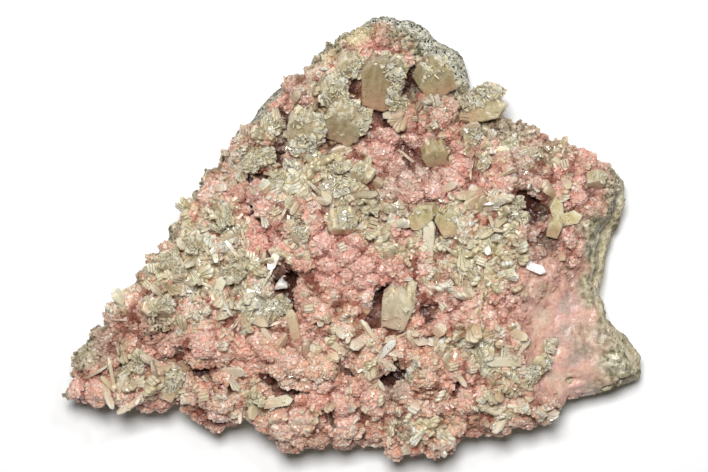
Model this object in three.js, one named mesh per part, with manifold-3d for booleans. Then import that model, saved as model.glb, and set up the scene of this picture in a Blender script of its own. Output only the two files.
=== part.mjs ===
// A cabinet specimen of stilbite: a broken slab of grey-green volcanic rock that lies on its flat
// back, a crust of pink druse grown over its upper face, and cream to olive stilbite crystals, as
// tablets, sheaves and bouquets, that stand on the crust. Millimetres, +Z up. The origin is below
// the middle of the specimen, on the plane that it rests on. +Y is the end with the tall apex.
import * as THREE from "three";
import { mergeVertices } from "three/addons/utils/BufferGeometryUtils.js";
import Module from "manifold-3d";

const wasm = await Module();
wasm.setup();

// ---- driving dimensions ----
const CLEARANCE = 0.35; // gap between pieces that grew against each other
const SLIVER = 0.03; // details smaller than this are left out
const HUB = new THREE.Vector2(-1, -8); // every edge of the slab can be seen from here
const CRUST_RINGS = 17; // the crust's face, in rings of 6, 12, 18 ... points
const SEAM_RINGS = 6; // the coarser face where crust and rock meet
const RIM_POINTS = 6 * CRUST_RINGS;

const SEAM_EDGE_HEIGHT = 12.5; // where crust and rock meet, at an edge where rock shows
const SEAM_CROWN = 3; // how much higher they meet in the middle
const WRAP = 4.5; // how much lower they meet at an edge that the crust wraps over
const CRUST_THICKNESS = 5.4;
const CRUST_EDGE_THICKNESS = 3.2;
const CRUST_LEAST = 1.9; // left under the deepest hollow
const CRUST_UNDERCUT = 0.6; // the rim's lower edge lies this far in from its upper edge
const SEAM_UNEVEN = { height: 1.1, size: 17 };
const RIM_LIFT = 0.35; // share of the wrap that the crust's upper face doesn't follow down
const RIM_FLATTENING = 0.45; // share of the lumps' height that is lost at the rim
const WORN_GRAINS = 0.85; // share of the small lumps' height that is worn away

// The rock's side, from the seam down: the share of the seam's height, how far in from the
// outline, and how rugged the edge is.
const ROCK_SIDE = [
  { height: 0.8, inset: 0.5, rugged: 0.35 },
  { height: 0.46, inset: 0, rugged: 0.4 },
  { height: 0.2, inset: 1.6, rugged: 0.3 },
  { height: 0, inset: 4.4, rugged: 0 },
];
const OVERHANG = 2.2; // how far the crust hangs over the rock where no rock shows from above

// The slab's outline as seen from above, from the east tip by the south: x, y, and how wide a
// strip of bare rock shows between the crust and the edge.
const OUTLINE = [
  [69.8, -33.7, 3], [68.6, -35.4, 2.5], [65.5, -36.8, 1.5], [60.5, -37.8, 0.6], [58.6, -38.5, 0],
  [56.2, -40.2, 0], [54.2, -39.2, 0], [50.9, -40, 0], [49.4, -41.4, 0], [48, -44.3, 0],
  [45.4, -45.7, 0], [43, -46.7, 0], [37, -46.7, 0], [35.3, -48.6, 0], [29.8, -48.1, 0],
  [25.9, -48.8, 0], [23.8, -51.2, 0], [20.6, -53.2, 0], [17, -53.6, 0], [13.9, -51.7, 0],
  [12.2, -49.6, 0], [10.8, -53.4, 0], [7.7, -52.9, 0], [5.3, -50.3, 0], [1.4, -50.3, 0],
  [-1.9, -51.2, 0], [-6, -51.5, 0], [-8.2, -49.6, 0], [-10.3, -52.2, 0], [-14.2, -52, 0],
  [-17.8, -50.5, 0], [-21.1, -47.9, 0], [-24.7, -45.7, 0], [-29, -45.2, 0], [-32.2, -48.4, 0],
  [-34.8, -46.4, 0], [-38.6, -45, 0], [-40.8, -42.8, 0], [-42, -40.4, 0], [-46.6, -41.9, 0],
  [-50.4, -42.1, 0], [-54.7, -41.4, 0], [-56.9, -40.2, 0], [-59, -41.6, 0], [-61.9, -40.2, 0],
  [-64.3, -41.4, 0], [-67, -41.6, 0], [-69.1, -40, 0], [-69.8, -37.1, 0], [-68.6, -33.5, 1],
  [-67, -28.2, 2.2], [-64.3, -24.8, 2.5], [-61.2, -24.1, 1.6], [-60, -18.8, 1.6],
  [-57.8, -17.9, 1.6], [-52.1, -8.3, 1.9], [-49, -4.9, 1.2], [-44.6, 0.8, 0.8], [-39.4, 8.8, 0.5],
  [-34.8, 15.2, 0.7], [-30, 21.7, 1.2], [-27.4, 25.8, 2.2], [-23.5, 29.4, 1.8], [-19.7, 33.2, 1.2],
  [-17.3, 35.9, 1], [-13, 38, 1], [-8.6, 42.4, 1], [-4.8, 45.7, 0.8], [1, 50.3, 1.2],
  [6.5, 53.6, 2], [9.1, 52.7, 4], [11.8, 52.9, 5.5], [13.9, 52, 6], [18.7, 47.4, 5.5],
  [21.4, 45.5, 6], [24.5, 43.8, 6], [26.2, 40.9, 5], [26.4, 37.6, 2], [27.4, 34.4, 1],
  [31.2, 31.8, 0.8], [35.3, 29.2, 1], [38.9, 25.6, 1.5], [43.7, 23.9, 1.2], [49.4, 21, 1.2],
  [56.6, 18.6, 1.2], [60, 17.6, 1.5], [62.2, 16, 2.2], [64.8, 13.6, 3.5], [65.5, 10.2, 4.2],
  [64.3, 5.4, 4.5], [62.6, 0.6, 4.5], [61, -6.1, 3.8], [59.5, -11.4, 3.2], [58.8, -15.2, 2],
  [59.3, -18.8, 1.5], [61.9, -21.5, 3.6], [64.3, -24.1, 4.2], [67.2, -28.2, 4.5], [69.6, -31.8, 3.5],
];

// Rounded masses of the crust: x, y, radius, height.
const LUMPS = [
  [-64.6, -37.8, 5.5, 4], [-58.6, -39.2, 3.5, 3], [-53.3, -39.7, 3.6, 3], [-48.5, -39.2, 3.6, 3],
  [-39.4, -40.4, 4, 3.5], [-33.1, -42.1, 5, 4], [-27.4, -42.1, 3.4, 2.5], [-35.8, -27.2, 6, 4.5],
  [-40.3, -23.6, 3.5, 2.5], [-29.3, -27.7, 3.6, 2.5], [-17.8, -31.6, 6.2, 5], [-13.2, -27.7, 3.6, 3],
  [-22.1, -27.2, 3.4, 2.5], [-10.6, -42.1, 5, 4], [-12.5, -48.8, 4.6, 3.5], [-19, -45.2, 3.4, 2.5],
  [-3.8, -48.4, 4, 3], [-0.5, -40.4, 3.8, 3], [9.6, -50, 4.2, 3.5], [17.5, -49.8, 5.2, 4],
  [17.8, -34.4, 5.6, 5], [23.5, -30.8, 3.4, 2.5], [-7, -17.2, 5.4, 3.5], [-13, -19.6, 3.6, 3],
  [-1.4, -20.5, 4, 3], [3.4, -24.8, 3.2, 2.5], [-7, -32.5, 4.8, 3.5], [-2.2, -27.7, 3.2, 2.5],
  [24.2, -21.2, 5, 3.5], [30.7, -20.5, 3.2, 2.5], [36.2, -27.7, 4.6, 3.5], [32.6, -35.6, 3.6, 3],
  [27.8, -40.4, 4.2, 3.5], [43.4, -42.1, 5.2, 3.5], [38.6, -35.6, 3.4, 2.5], [22.1, -42.1, 4, 3],
  [18.2, 28, 6.5, 4], [15.8, 12.1, 5.6, 3.5], [22.6, 11.6, 3.4, 2.5], [32.6, 13.3, 2.8, 2.5],
  [30.7, 5.4, 5, 3], [44.6, 12.1, 4.4, 3], [56.6, 5.9, 5, 2.5], [51.8, -1.6, 4.2, 2.5],
  [37.4, 16, 3.4, 2.5], [-13, -6.1, 4.2, 3], [-15.4, 0.1, 3.6, 2.5], [-1, -6.1, 5, 3],
  [-5.8, -3.2, 3.4, 2.5], [-23, 7.6, 4.4, 3], [-16.6, 28, 3, 1.5], [-8.2, 39.5, 3.6, 2],
  [2.6, 46.2, 3.6, 2], [4.3, 21.7, 4.2, 2.5], [11, 23.2, 3, 2], [-8.2, 13.1, 3.2, 2.5],
  [-31.7, 5.2, 6.5, 3.5], [-35.8, -0.8, 4.6, 2.5], [-43.7, -6.1, 6, 3], [-27.4, -6.1, 4.6, 3],
  [-41.3, -12.8, 4, 2.5], [-46.6, -17.2, 4.2, 2.5],
];

// Hollows and clefts between them: x, y, half length, half width, direction in degrees, depth.
const HOLLOWS = [
  [-24.2, 5.2, 4.2, 1.6, -60, 4.5], [-20.6, -6.1, 3.6, 1.4, -65, 4.5],
  [-16.6, -12.8, 5.2, 2.4, -78, 6.5], [-15.1, -17.9, 2.6, 1.6, -60, 4.5],
  [-21.1, -34.2, 3.4, 1.6, -35, 4.5], [-15.4, -37.3, 5, 1.5, -5, 4], [7, -16, 3.2, 2.8, 20, 5.5],
  [4.3, -19.6, 2.4, 3.2, 0, 3.5], [16.8, -18.8, 3.6, 2, -60, 4.5], [41.5, 6.4, 5, 3.2, -35, 5.5],
  [46.1, -2, 4, 2.4, -20, 4], [55.4, 10.2, 2.4, 1.3, -40, 3], [9.1, -34, 4, 2.8, 15, 5.5],
  [-37.9, -32.8, 5, 1.7, -30, 4.5], [-29.8, -36.8, 2.8, 1.3, 70, 4], [-18.2, 19.6, 4.2, 1.3, 88, 5],
  [-17, 27.5, 3.6, 1.4, -75, 4], [-0.7, 34.7, 3, 1.6, 80, 4.5], [13.2, 36.4, 5, 2, 85, 5],
  [7.4, 27, 4.6, 2.4, -20, 4.5], [13, 17.9, 4.6, 2.6, -35, 4], [-46.1, -30.1, 3, 1.4, 15, 3.5],
  [-49, -22.2, 4.8, 1.6, -10, 3], [-55.9, -31.6, 2.6, 1.2, 75, 3], [23.8, -36.4, 3.4, 1.2, 75, 3.5],
  [34.3, -28.4, 1.8, 2.4, 0, 3], [-2.2, -32.5, 4, 1.4, -45, 3.5], [-5.3, -45.2, 2.8, 1.6, -60, 3],
  [-23.8, 12.8, 3, 1.6, 0, 3.5], [-7.9, 28.4, 3.4, 1.3, -60, 3.5], [-5.8, 21.2, 3, 1.5, -75, 3.5],
  [19.9, 1.1, 3, 1.4, 30, 3.5], [-35.8, -7.6, 3.2, 1.4, -55, 3], [-42.7, -28.9, 2.6, 1.4, 60, 3],
  [35, 19.1, 3.4, 1, 25, 2.5], [9.1, -46.4, 2.2, 1.4, 0, 2.5], [20.6, -46.9, 2.4, 1.6, 10, 3],
  [38.6, -38.5, 2.2, 1.4, 0, 2],
];

// The worn corner, where the crust is thin and smooth: x, y, reach along X and Y, the share of the
// reach where it starts to get rough again, and the thickness lost.
const WORN_CORNER = { x: 54, y: -26, reachX: 17, reachY: 19, edge: 0.55, loss: 3.2 };

// Small random lumps between the named ones.
const SMALL_LUMP_SPACING = 5.4;
const SMALL_LUMP_RADIUS = [2.4, 3.6];
const SMALL_LUMP_HEIGHT = [0.8, 2.6];

// ---- stilbite crystals ----
// Each node is one crystal, or several grown into each other. at: the middle of its visible part,
// size: length, width and thickness, heading: the way its tip points, in degrees from +X,
// rise: the tip's angle above the level, across and layers: the tablets that make up a sheaf,
// and fan: how far they spread, in degrees.
const CRYSTALS = {
  stilbite_crown: [
    { at: [5.8, 36.2], size: [15, 10, 8], heading: 82, rise: 22, across: 3, layers: 2, fan: 14 },
  ],
  stilbite_crown_fan: [
    { at: [-2.6, 26.4], size: [12, 10, 7], heading: 62, rise: 48, across: 3, layers: 2, fan: 34 },
  ],
  stilbite_west_barrel: [
    { at: [-12.2, 24.2], size: [12.5, 8.6, 6.6], heading: 78, rise: 32, across: 3, layers: 2, fan: 22 },
  ],
  stilbite_knob: [
    { at: [-5.5, 33.7], size: [7.6, 6, 4.6], heading: 100, rise: 45, across: 2, layers: 1, fan: 24 },
  ],
  stilbite_dark_knob: [
    { at: [-1.6, 40.2], size: [7, 5.4, 4.6], heading: 95, rise: 30, across: 2, layers: 1, fan: 16 },
  ],
  stilbite_amber: [
    { at: [18.3, 37.2], size: [9.6, 8, 6.4], heading: 118, rise: 38, across: 2, layers: 2, fan: 16 },
  ],
  stilbite_east_block: [
    { at: [30.6, 31.1], size: [12, 8, 7], heading: 18, rise: 16, across: 2, layers: 2, fan: 16 },
  ],
  stilbite_prism_east: [{ at: [10.6, 30.8], size: [5, 2.7, 2], heading: 75, rise: 22 }],
  stilbite_yellow_block: [
    { at: [-20.6, 26], size: [6.2, 4.4, 3.4], heading: 170, rise: 20, across: 2, fan: 12 },
  ],
  stilbite_pale_block: [{ at: [-21.4, 18.2], size: [5, 4, 3.2], heading: 90, rise: 45 }],
  stilbite_flower: [
    { at: [-24.9, 16.6], size: [5.6, 5, 3], heading: 120, rise: 55, across: 3, fan: 50 },
  ],
  stilbite_gold_block: [
    { at: [-18.7, 11.9], size: [6.8, 4.8, 3.4], heading: 150, rise: 22, across: 2, fan: 14 },
  ],
  stilbite_long_tablet: [{ at: [-5.3, 11.2], size: [9.8, 4.4, 2.9], heading: -20, rise: 8 }],
  stilbite_square_sheaf: [
    { at: [-3.6, 2.6], size: [7.4, 7, 5.6], heading: 95, rise: 62, across: 3, layers: 2, fan: 30 },
  ],
  stilbite_centre_pair: [
    { at: [15.4, 4.2], size: [8.6, 4.8, 3.4], heading: 48, rise: 24 },
    { at: [21.4, 3], size: [9, 5.2, 3.4], heading: 112, rise: 26, across: 2, fan: 10 },
  ],
  stilbite_heart: [
    { at: [9.6, -17.2], size: [11, 7.6, 5.4], heading: 78, rise: 26, across: 3, layers: 2, fan: 20 },
    { at: [12.8, -15.6], size: [10.6, 2.2, 1.8], heading: 86, rise: 24 },
  ],
  stilbite_green_lath: [{ at: [-15.1, 5.4], size: [8.4, 2.2, 1.5], heading: 125, rise: 14 }],
  stilbite_olive_bead: [{ at: [-13.7, -0.4], size: [4.2, 3.6, 3], heading: 50, rise: 50 }],
  stilbite_white_twin: [
    { at: [-18.4, -9.8], size: [4.2, 3.6, 3], heading: 80, rise: 40 },
    { at: [-18.1, -12.8], size: [4.2, 3.6, 3], heading: 100, rise: 35 },
  ],
  stilbite_pale_fan: [
    { at: [-19.6, -18.2], size: [9, 4, 2.2], heading: 36, rise: 14, across: 3, fan: 30 },
  ],
  stilbite_upright_blade: [{ at: [-26.2, -19.6], size: [8.8, 2.6, 1.6], heading: 90, rise: 15 }],
  stilbite_south_west_blade: [
    { at: [-43.9, -35.9], size: [10, 3.9, 2], heading: 65, rise: 14, across: 2, fan: 8 },
  ],
  stilbite_west_blade: [{ at: [-52.1, -30.1], size: [6.8, 3.2, 2], heading: 95, rise: 15 }],
  stilbite_slim_blade: [{ at: [-55.7, -33.5], size: [6, 2.3, 1.6], heading: 42, rise: 15 }],
  stilbite_south_lath: [{ at: [-18.2, -39.9], size: [8.4, 2.6, 2], heading: 12, rise: 10 }],
  stilbite_white_lath: [{ at: [42.2, -8.2], size: [6.6, 2.2, 2.4], heading: -20, rise: 13 }],
  stilbite_glassy_trio: [
    { at: [47.6, 5.4], size: [7, 3.2, 2.4], heading: 104, rise: 22 },
    { at: [51.2, 3.7], size: [5.4, 3.4, 2.4], heading: 15, rise: 18 },
    { at: [47, 1.6], size: [5.4, 3.4, 2.6], heading: 75, rise: 36 },
  ],
  stilbite_round: [{ at: [56.9, 13.1], size: [5, 4.4, 3.6], heading: 90, rise: 65 }],
  stilbite_hollow_pair: [
    { at: [37.7, 6.2], size: [5.6, 2.8, 2.2], heading: 70, rise: 20 },
    { at: [39, 3.6], size: [4.4, 2.6, 2.1], heading: 20, rise: 18 },
  ],
  stilbite_ridge_block: [{ at: [27.1, 23.6], size: [6, 4, 3], heading: 82, rise: 26 }],
  stilbite_small_block: [{ at: [30.2, 16.7], size: [4, 3.2, 2.6], heading: 60, rise: 40 }],
  stilbite_east_tablet: [{ at: [32.6, -2.3], size: [6.4, 3.2, 2], heading: 60, rise: 14 }],
  stilbite_broad_blade: [
    { at: [30.5, -29.6], size: [9.4, 4.4, 2.2], heading: 98, rise: 12, across: 2, fan: 8 },
  ],
  stilbite_diagonal_blade: [
    { at: [41.8, -33.2], size: [12.4, 3.7, 2.2], heading: 50, rise: 10, across: 2, fan: 6 },
  ],
  stilbite_corner_block: [{ at: [45.4, -27.2], size: [4.6, 3.6, 2.6], heading: 50, rise: 30 }],
  stilbite_lilac_pair: [
    { at: [15.4, -25.6], size: [5.2, 2.3, 2], heading: 185, rise: 8 },
    { at: [19.8, -25.9], size: [5.6, 2.4, 2], heading: -5, rise: 8 },
  ],
  stilbite_white_blade: [{ at: [7, -27.5], size: [6.6, 1.9, 1.3], heading: 48, rise: 16 }],
  stilbite_short_blade: [{ at: [13, -33], size: [5.6, 2, 1.5], heading: 65, rise: 22 }],
  stilbite_west_trio: [
    { at: [-49.5, -17.9], size: [5.2, 4, 3], heading: 200, rise: 24 },
    { at: [-45.4, -17.1], size: [5.4, 3.4, 2.8], heading: 20, rise: 22 },
    { at: [-42.4, -17.6], size: [3.6, 3, 2.4], heading: 340, rise: 24 },
  ],
  stilbite_dusky_tablet: [{ at: [35.6, 20.6], size: [7, 3, 2], heading: 15, rise: 14 }],
  stilbite_sun: [
    { at: [18.4, 18.9], size: [6.8, 6, 4.2], heading: 100, rise: 50, across: 3, fan: 34 },
  ],
  stilbite_tablet_north: [
    { at: [-5.1, 16.5], size: [6.8, 4.6, 3.2], heading: 15, rise: 24, across: 2, fan: 16 },
  ],
  stilbite_rosette: [
    { at: [1.4, 14.4], size: [6.2, 5.6, 3.6], heading: 60, rise: 60, across: 3, fan: 44 },
  ],
};

// Bouquets: tablets that radiate from one root. at, tablets, and the longest tablet's length.
const BOUQUETS = [
  { at: [-31.5, 4.6], tablets: 6, length: 6.4 },
  { at: [-37.6, -1.4], tablets: 5, length: 5.8 },
  { at: [-28.4, -8.4], tablets: 6, length: 6.4 },
  { at: [-43.4, -7], tablets: 6, length: 6 },
  { at: [3.6, 6.8], tablets: 5, length: 5.6 },
  { at: [26.6, -8.6], tablets: 5, length: 5.8 },
  { at: [36.6, -1.2], tablets: 5, length: 4.8 },
  { at: [-24.4, -38.6], tablets: 5, length: 5.4 },
];
const BOUQUET_TABLET = { width: 0.4, thickness: 0.27, fromRoot: 0.42 }; // shares of its length
const BOUQUET_ROOT = 0.4; // height above the crust
const BOUQUET_RISE = [22, 74];
const UPRIGHT = 82; // the rise of a bouquet's first tablet

// A tablet's outline: how far its foot narrows, and its roof in shares of its width and length.
const TABLET_FOOT = 0.8;
const TABLET_ROOF = { width: 0.55, length: 0.3, skew: 1.1, ridge: 0.1 };

// How tablets make up a sheaf, in shares of its width and thickness.
const SHEAF = { overlapAcross: 1.45, overlapLayers: 1.3, spread: 0.72, stack: 0.62, slip: 0.08 };
const SHEAF_SHORTEST = 0.84;
const SHEAF_THINNEST = 0.82;
const SHEAF_EDGE_LOSS = 0.3; // how much shorter the outer tablets are
const LAYER_FAN = 0.6; // share of the fan that the layers take

// How a crystal lies on the crust: its middle's height in shares of its length and thickness, the
// clearance below its upper half, and the most that this may lift it, in shares of its thickness.
const SEAT = { length: 0.32, thickness: 0.2, clear: 0.35, lift: 0.3, leastThickness: 2.5 };

// ---- colours ----
const finish = (color, roughness) => new THREE.MeshStandardMaterial({ color, roughness, metalness: 0 });
const ROCK = finish(0x8d8c7a, 0.9);
const DRUSE = finish(0xdd9d92, 0.6);
const STILBITE = finish(0xc9c19b, 0.4);

// ---- small helpers ----
const radians = THREE.MathUtils.degToRad;
const mix = THREE.MathUtils.lerp;
const smooth = THREE.MathUtils.smoothstep;

// Numbers from 0 to 1 in an order fixed by the seed.
function seeded(seed) {
  let state = seed;
  return () => {
    state = (state * 1664525 + 1013904223) >>> 0;
    return state / 4294967296;
  };
}

// A repeatable value from -1 to 1 for a whole-numbered cell.
function cellNoise(i, j, salt) {
  const wave = Math.sin(i * 127.1 + j * 311.7 + salt * 74.7) * 43758.5453;
  return 2 * (wave - Math.floor(wave)) - 1;
}

// Smooth noise from -1 to 1 over the plane.
function roughness(x, y, size, salt) {
  const [u, v] = [x / size, y / size];
  const [i, j] = [Math.floor(u), Math.floor(v)];
  const [a, b] = [smooth(u - i, 0, 1), smooth(v - j, 0, 1)];
  const low = mix(cellNoise(i, j, salt), cellNoise(i + 1, j, salt), a);
  const high = mix(cellNoise(i, j + 1, salt), cellNoise(i + 1, j + 1, salt), a);
  return mix(low, high, b);
}

// ---- the slab's outline, seen from the hub ----
// How far the edge lies from the hub in a direction, and how much bare rock shows there.
function edgeAt(angle) {
  const ray = new THREE.Vector2(Math.cos(angle), Math.sin(angle));
  for (let n = 0; n < OUTLINE.length; n++) {
    const [ax, ay, bareA] = OUTLINE[n];
    const [bx, by, bareB] = OUTLINE[(n + 1) % OUTLINE.length];
    const a = new THREE.Vector2(ax, ay).sub(HUB);
    const side = new THREE.Vector2(bx, by).sub(HUB).sub(a);
    const across = ray.cross(side);
    if (Math.abs(across) < 1e-9) continue;
    const reach = a.cross(side) / across;
    const share = a.cross(ray) / across;
    if (reach > 0 && share >= 0 && share <= 1) return { reach, bare: mix(bareA, bareB, share) };
  }
  throw new Error("the outline has a gap");
}

const RIM = Array.from({ length: RIM_POINTS }, (_, n) => {
  const angle = (2 * Math.PI * n) / RIM_POINTS;
  return { angle, ...edgeAt(angle) };
});

// The rim between its points, for rings that have fewer of them.
function rimAt(turn) {
  const n = Math.floor(turn * RIM_POINTS) % RIM_POINTS;
  const share = turn * RIM_POINTS - Math.floor(turn * RIM_POINTS);
  const [a, b] = [RIM[n], RIM[(n + 1) % RIM_POINTS]];
  return {
    angle: 2 * Math.PI * turn,
    reach: mix(a.reach, b.reach, share),
    bare: mix(a.bare, b.bare, share),
  };
}

const crustReach = (rim) => rim.reach - rim.bare;
const wrapped = (rim) => 1 - smooth(rim.bare, 0, 1.4); // 1 where the crust hides the rock's edge
const fromHub = (angle, reach) => [HUB.x + reach * Math.cos(angle), HUB.y + reach * Math.sin(angle)];

// ---- heights ----
// The rim in the direction of a point, and how far out the point lies: 0 at the hub, 1 at the rim.
function rimToward(x, y) {
  const turn = Math.atan2(y - HUB.y, x - HUB.x) / (2 * Math.PI);
  const rim = rimAt(turn - Math.floor(turn));
  return { rim, share: Math.min(1, Math.hypot(x - HUB.x, y - HUB.y) / crustReach(rim)) };
}

function seamHeight(x, y) {
  const { rim, share } = rimToward(x, y);
  const uneven = SEAM_UNEVEN.height * roughness(x, y, SEAM_UNEVEN.size, 5);
  return SEAM_EDGE_HEIGHT + SEAM_CROWN * (1 - share ** 2) - WRAP * wrapped(rim) * share ** 7 + uneven;
}

const smallLumps = [];
const nextLump = seeded(7);
for (let x = -72; x <= 72; x += SMALL_LUMP_SPACING) {
  for (let y = -54; y <= 54; y += SMALL_LUMP_SPACING) {
    smallLumps.push([
      x + (nextLump() - 0.5) * SMALL_LUMP_SPACING,
      y + (nextLump() - 0.5) * SMALL_LUMP_SPACING,
      mix(...SMALL_LUMP_RADIUS, nextLump()),
      mix(...SMALL_LUMP_HEIGHT, nextLump()),
    ]);
  }
}

// From 0 on the rough crust to 1 on the worn corner.
function wear(x, y) {
  const { reachX, reachY, edge } = WORN_CORNER;
  return 1 - smooth(Math.hypot((x - WORN_CORNER.x) / reachX, (y - WORN_CORNER.y) / reachY), edge, 1);
}

const dome = (x, y, [cx, cy, radius, height]) =>
  height * Math.sqrt(Math.max(0, 1 - ((x - cx) ** 2 + (y - cy) ** 2) / radius ** 2));

function hollowDepth(x, y, [cx, cy, halfLength, halfWidth, heading, depth]) {
  const turn = radians(heading);
  const along = (x - cx) * Math.cos(turn) + (y - cy) * Math.sin(turn);
  const aside = (y - cy) * Math.cos(turn) - (x - cx) * Math.sin(turn);
  return depth * (1 - smooth(Math.hypot(along / halfLength, aside / halfWidth), 0.35, 1.25));
}

const highest = (list, rise) => list.reduce((most, entry) => Math.max(most, rise(entry)), 0);

function crustHeight(x, y) {
  const { rim, share } = rimToward(x, y);
  const seam = seamHeight(x, y) + RIM_LIFT * WRAP * wrapped(rim) * share ** 7;
  const worn = wear(x, y);
  const sheet = mix(CRUST_EDGE_THICKNESS, CRUST_THICKNESS, 1 - share ** 6) - WORN_CORNER.loss * worn;
  const rounded = highest(LUMPS, (lump) => dome(x, y, lump));
  const grains = highest(smallLumps, (lump) => dome(x, y, lump)) * (1 - WORN_GRAINS * worn);
  const cut = highest(HOLLOWS, (hollow) => hollowDepth(x, y, hollow));
  const relief = Math.max(rounded, grains) * (1 - RIM_FLATTENING * share ** 10) - cut;
  return seam + Math.max(CRUST_LEAST, sheet + relief);
}

// ---- solids ----
// The triangles between a ring of corners and the next ring outside it, which has as many corners
// or more. A ring is where its corners start and how many there are.
function band(inner, outer) {
  const faces = [];
  const corner = (ring, n) => ring.start + (n % ring.count);
  const steps = inner.count === 1 ? 0 : inner.count;
  let [i, j] = [0, 0];
  while (i < steps || j < outer.count) {
    const outward = i >= steps || (j + 1) / outer.count <= (i + 1) / inner.count;
    faces.push([corner(inner, i), corner(outer, j), outward ? corner(outer, ++j) : corner(inner, ++i)]);
  }
  return faces;
}

// A closed solid of the rings given, each a list of [x, y, z], from the middle of its upper face
// out over its edge and in again to the middle of its lower face.
function solidOfRings(rings) {
  let start = 0;
  const spans = rings.map((ring) => {
    const span = { start, count: ring.length };
    start += ring.length;
    return span;
  });
  const faces = spans.slice(1).flatMap((next, n) => {
    const last = spans[n];
    return next.count < last.count ? band(next, last).map((face) => face.reverse()) : band(last, next);
  });
  return new wasm.Manifold(
    new wasm.Mesh({
      numProp: 3,
      vertProperties: new Float32Array(rings.flat(2)),
      triVerts: new Uint32Array(faces.flat()),
    }),
  );
}

// Ring number n of a face with so many rings, its heights from a function of x and y.
function faceRing(n, rings, inset, height) {
  if (n === 0) return [[HUB.x, HUB.y, height(HUB.x, HUB.y)]];
  const count = n === rings ? RIM_POINTS : 6 * n;
  return Array.from({ length: count }, (_, i) => {
    const rim = rimAt(i / count);
    const [x, y] = fromHub(rim.angle, ((crustReach(rim) - inset) * n) / rings);
    return [x, y, height(x, y)];
  });
}

const faceRings = (rings, inset, height) =>
  Array.from({ length: rings + 1 }, (_, n) => faceRing(n, rings, inset, height));

// How much higher the crust's face lies when it is grown by one unit square to its slope.
function slopeFactor(x, y) {
  const step = 0.4;
  const dx = crustHeight(x + step, y) - crustHeight(x - step, y);
  const dy = crustHeight(x, y + step) - crustHeight(x, y - step);
  return Math.min(3, Math.hypot(1, dx / (2 * step), dy / (2 * step)));
}

function crustSolid() {
  const face = faceRings(CRUST_RINGS, 0, crustHeight);
  const seam = faceRings(SEAM_RINGS, CRUST_UNDERCUT, (x, y) => seamHeight(x, y) + CLEARANCE);
  return solidOfRings([...face, ...seam.reverse()]);
}

// The crust with a layer over it, which other pieces keep clear of.
function crustRoom(layer) {
  const above = (x, y) => crustHeight(x, y) + layer * slopeFactor(x, y);
  const face = faceRings(CRUST_RINGS, 0, above);
  const collar = faceRing(CRUST_RINGS, CRUST_RINGS, -layer, above);
  const seam = faceRings(SEAM_RINGS, CRUST_UNDERCUT - layer, seamHeight);
  return solidOfRings([...face, collar, ...seam.reverse()]);
}

// One ring of the rock's side.
function sideRing({ height, inset, rugged }, salt, growth) {
  return RIM.map((rim, n) => {
    const open = 1 - wrapped(rim);
    const reach = rim.reach - inset - wrapped(rim) * OVERHANG + growth;
    const [x, y] = fromHub(rim.angle, reach + rugged * cellNoise(n, 0, salt) * open);
    const edge = seamHeight(...fromHub(rim.angle, crustReach(rim)));
    return [x, y, height * edge + rugged * cellNoise(n, 1, salt)];
  });
}

function rockSolid(growth = 0) {
  const face = faceRings(SEAM_RINGS, CRUST_UNDERCUT - growth, (x, y) => seamHeight(x, y) + growth);
  const sides = ROCK_SIDE.map((ring, n) => sideRing(ring, n + 1, growth));
  return solidOfRings([...face, ...sides, [[HUB.x, HUB.y, 0]]]);
}

// A three.js geometry as a solid, placed by a matrix.
function solidOf(geometry, matrix) {
  const placed = geometry.clone().applyMatrix4(matrix);
  placed.deleteAttribute("normal");
  placed.deleteAttribute("uv");
  const merged = mergeVertices(placed, 1e-4);
  return new wasm.Manifold(
    new wasm.Mesh({
      numProp: 3,
      vertProperties: merged.attributes.position.array,
      triVerts: new Uint32Array(merged.index.array),
    }),
  );
}

// A stilbite tablet: flat broad faces and a roof-shaped tip, length along Y, thickness along Z.
function tablet(length, width, thickness) {
  const [x, y] = [width / 2, length / 2];
  const roof = Math.min(TABLET_ROOF.width * width, TABLET_ROOF.length * length);
  const outline = new THREE.Shape();
  outline.moveTo(-x * TABLET_FOOT, -y);
  outline.lineTo(x * TABLET_FOOT, -y);
  outline.lineTo(x, y - roof);
  outline.lineTo(x * TABLET_ROOF.ridge, y);
  outline.lineTo(-x, y - roof * TABLET_ROOF.skew);
  const geometry = new THREE.ExtrudeGeometry(outline, { depth: thickness, bevelEnabled: false });
  return geometry.translate(0, 0, -thickness / 2);
}

// The way a crystal's tip points.
function pointing(heading, rise) {
  const [turn, lift] = [radians(heading), radians(rise)];
  return new THREE.Vector3(Math.cos(lift) * Math.cos(turn), Math.cos(lift) * Math.sin(turn), Math.sin(lift));
}

// The frame of a crystal: Y along its length, X level across it.
function crystalFrame(middle, heading, rise, roll = 0) {
  const along = pointing(heading, rise);
  const across = new THREE.Vector3(along.y, -along.x, 0).normalize();
  const frame = new THREE.Matrix4().makeBasis(across, along, across.clone().cross(along));
  return frame.setPosition(...middle).multiply(new THREE.Matrix4().makeRotationY(roll));
}

// The height at which a crystal's middle lies: clear of the crust from its middle to its tip.
function restingHeight([x, y], [length, , thickness], heading, rise) {
  const tip = pointing(heading, rise);
  const lying = Math.hypot(tip.x, tip.y);
  const usual = crustHeight(x, y) + SEAT.length * length * tip.z + SEAT.thickness * thickness * lying;
  const clear = [0.25, 0.5].map((share) => {
    const ahead = tip.clone().multiplyScalar(share * length);
    return crustHeight(x + ahead.x, y + ahead.y) - ahead.z + SEAT.clear * thickness;
  });
  const most = usual + SEAT.lift * Math.max(thickness, SEAT.leastThickness);
  return Math.min(Math.max(usual, ...clear), most);
}

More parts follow.
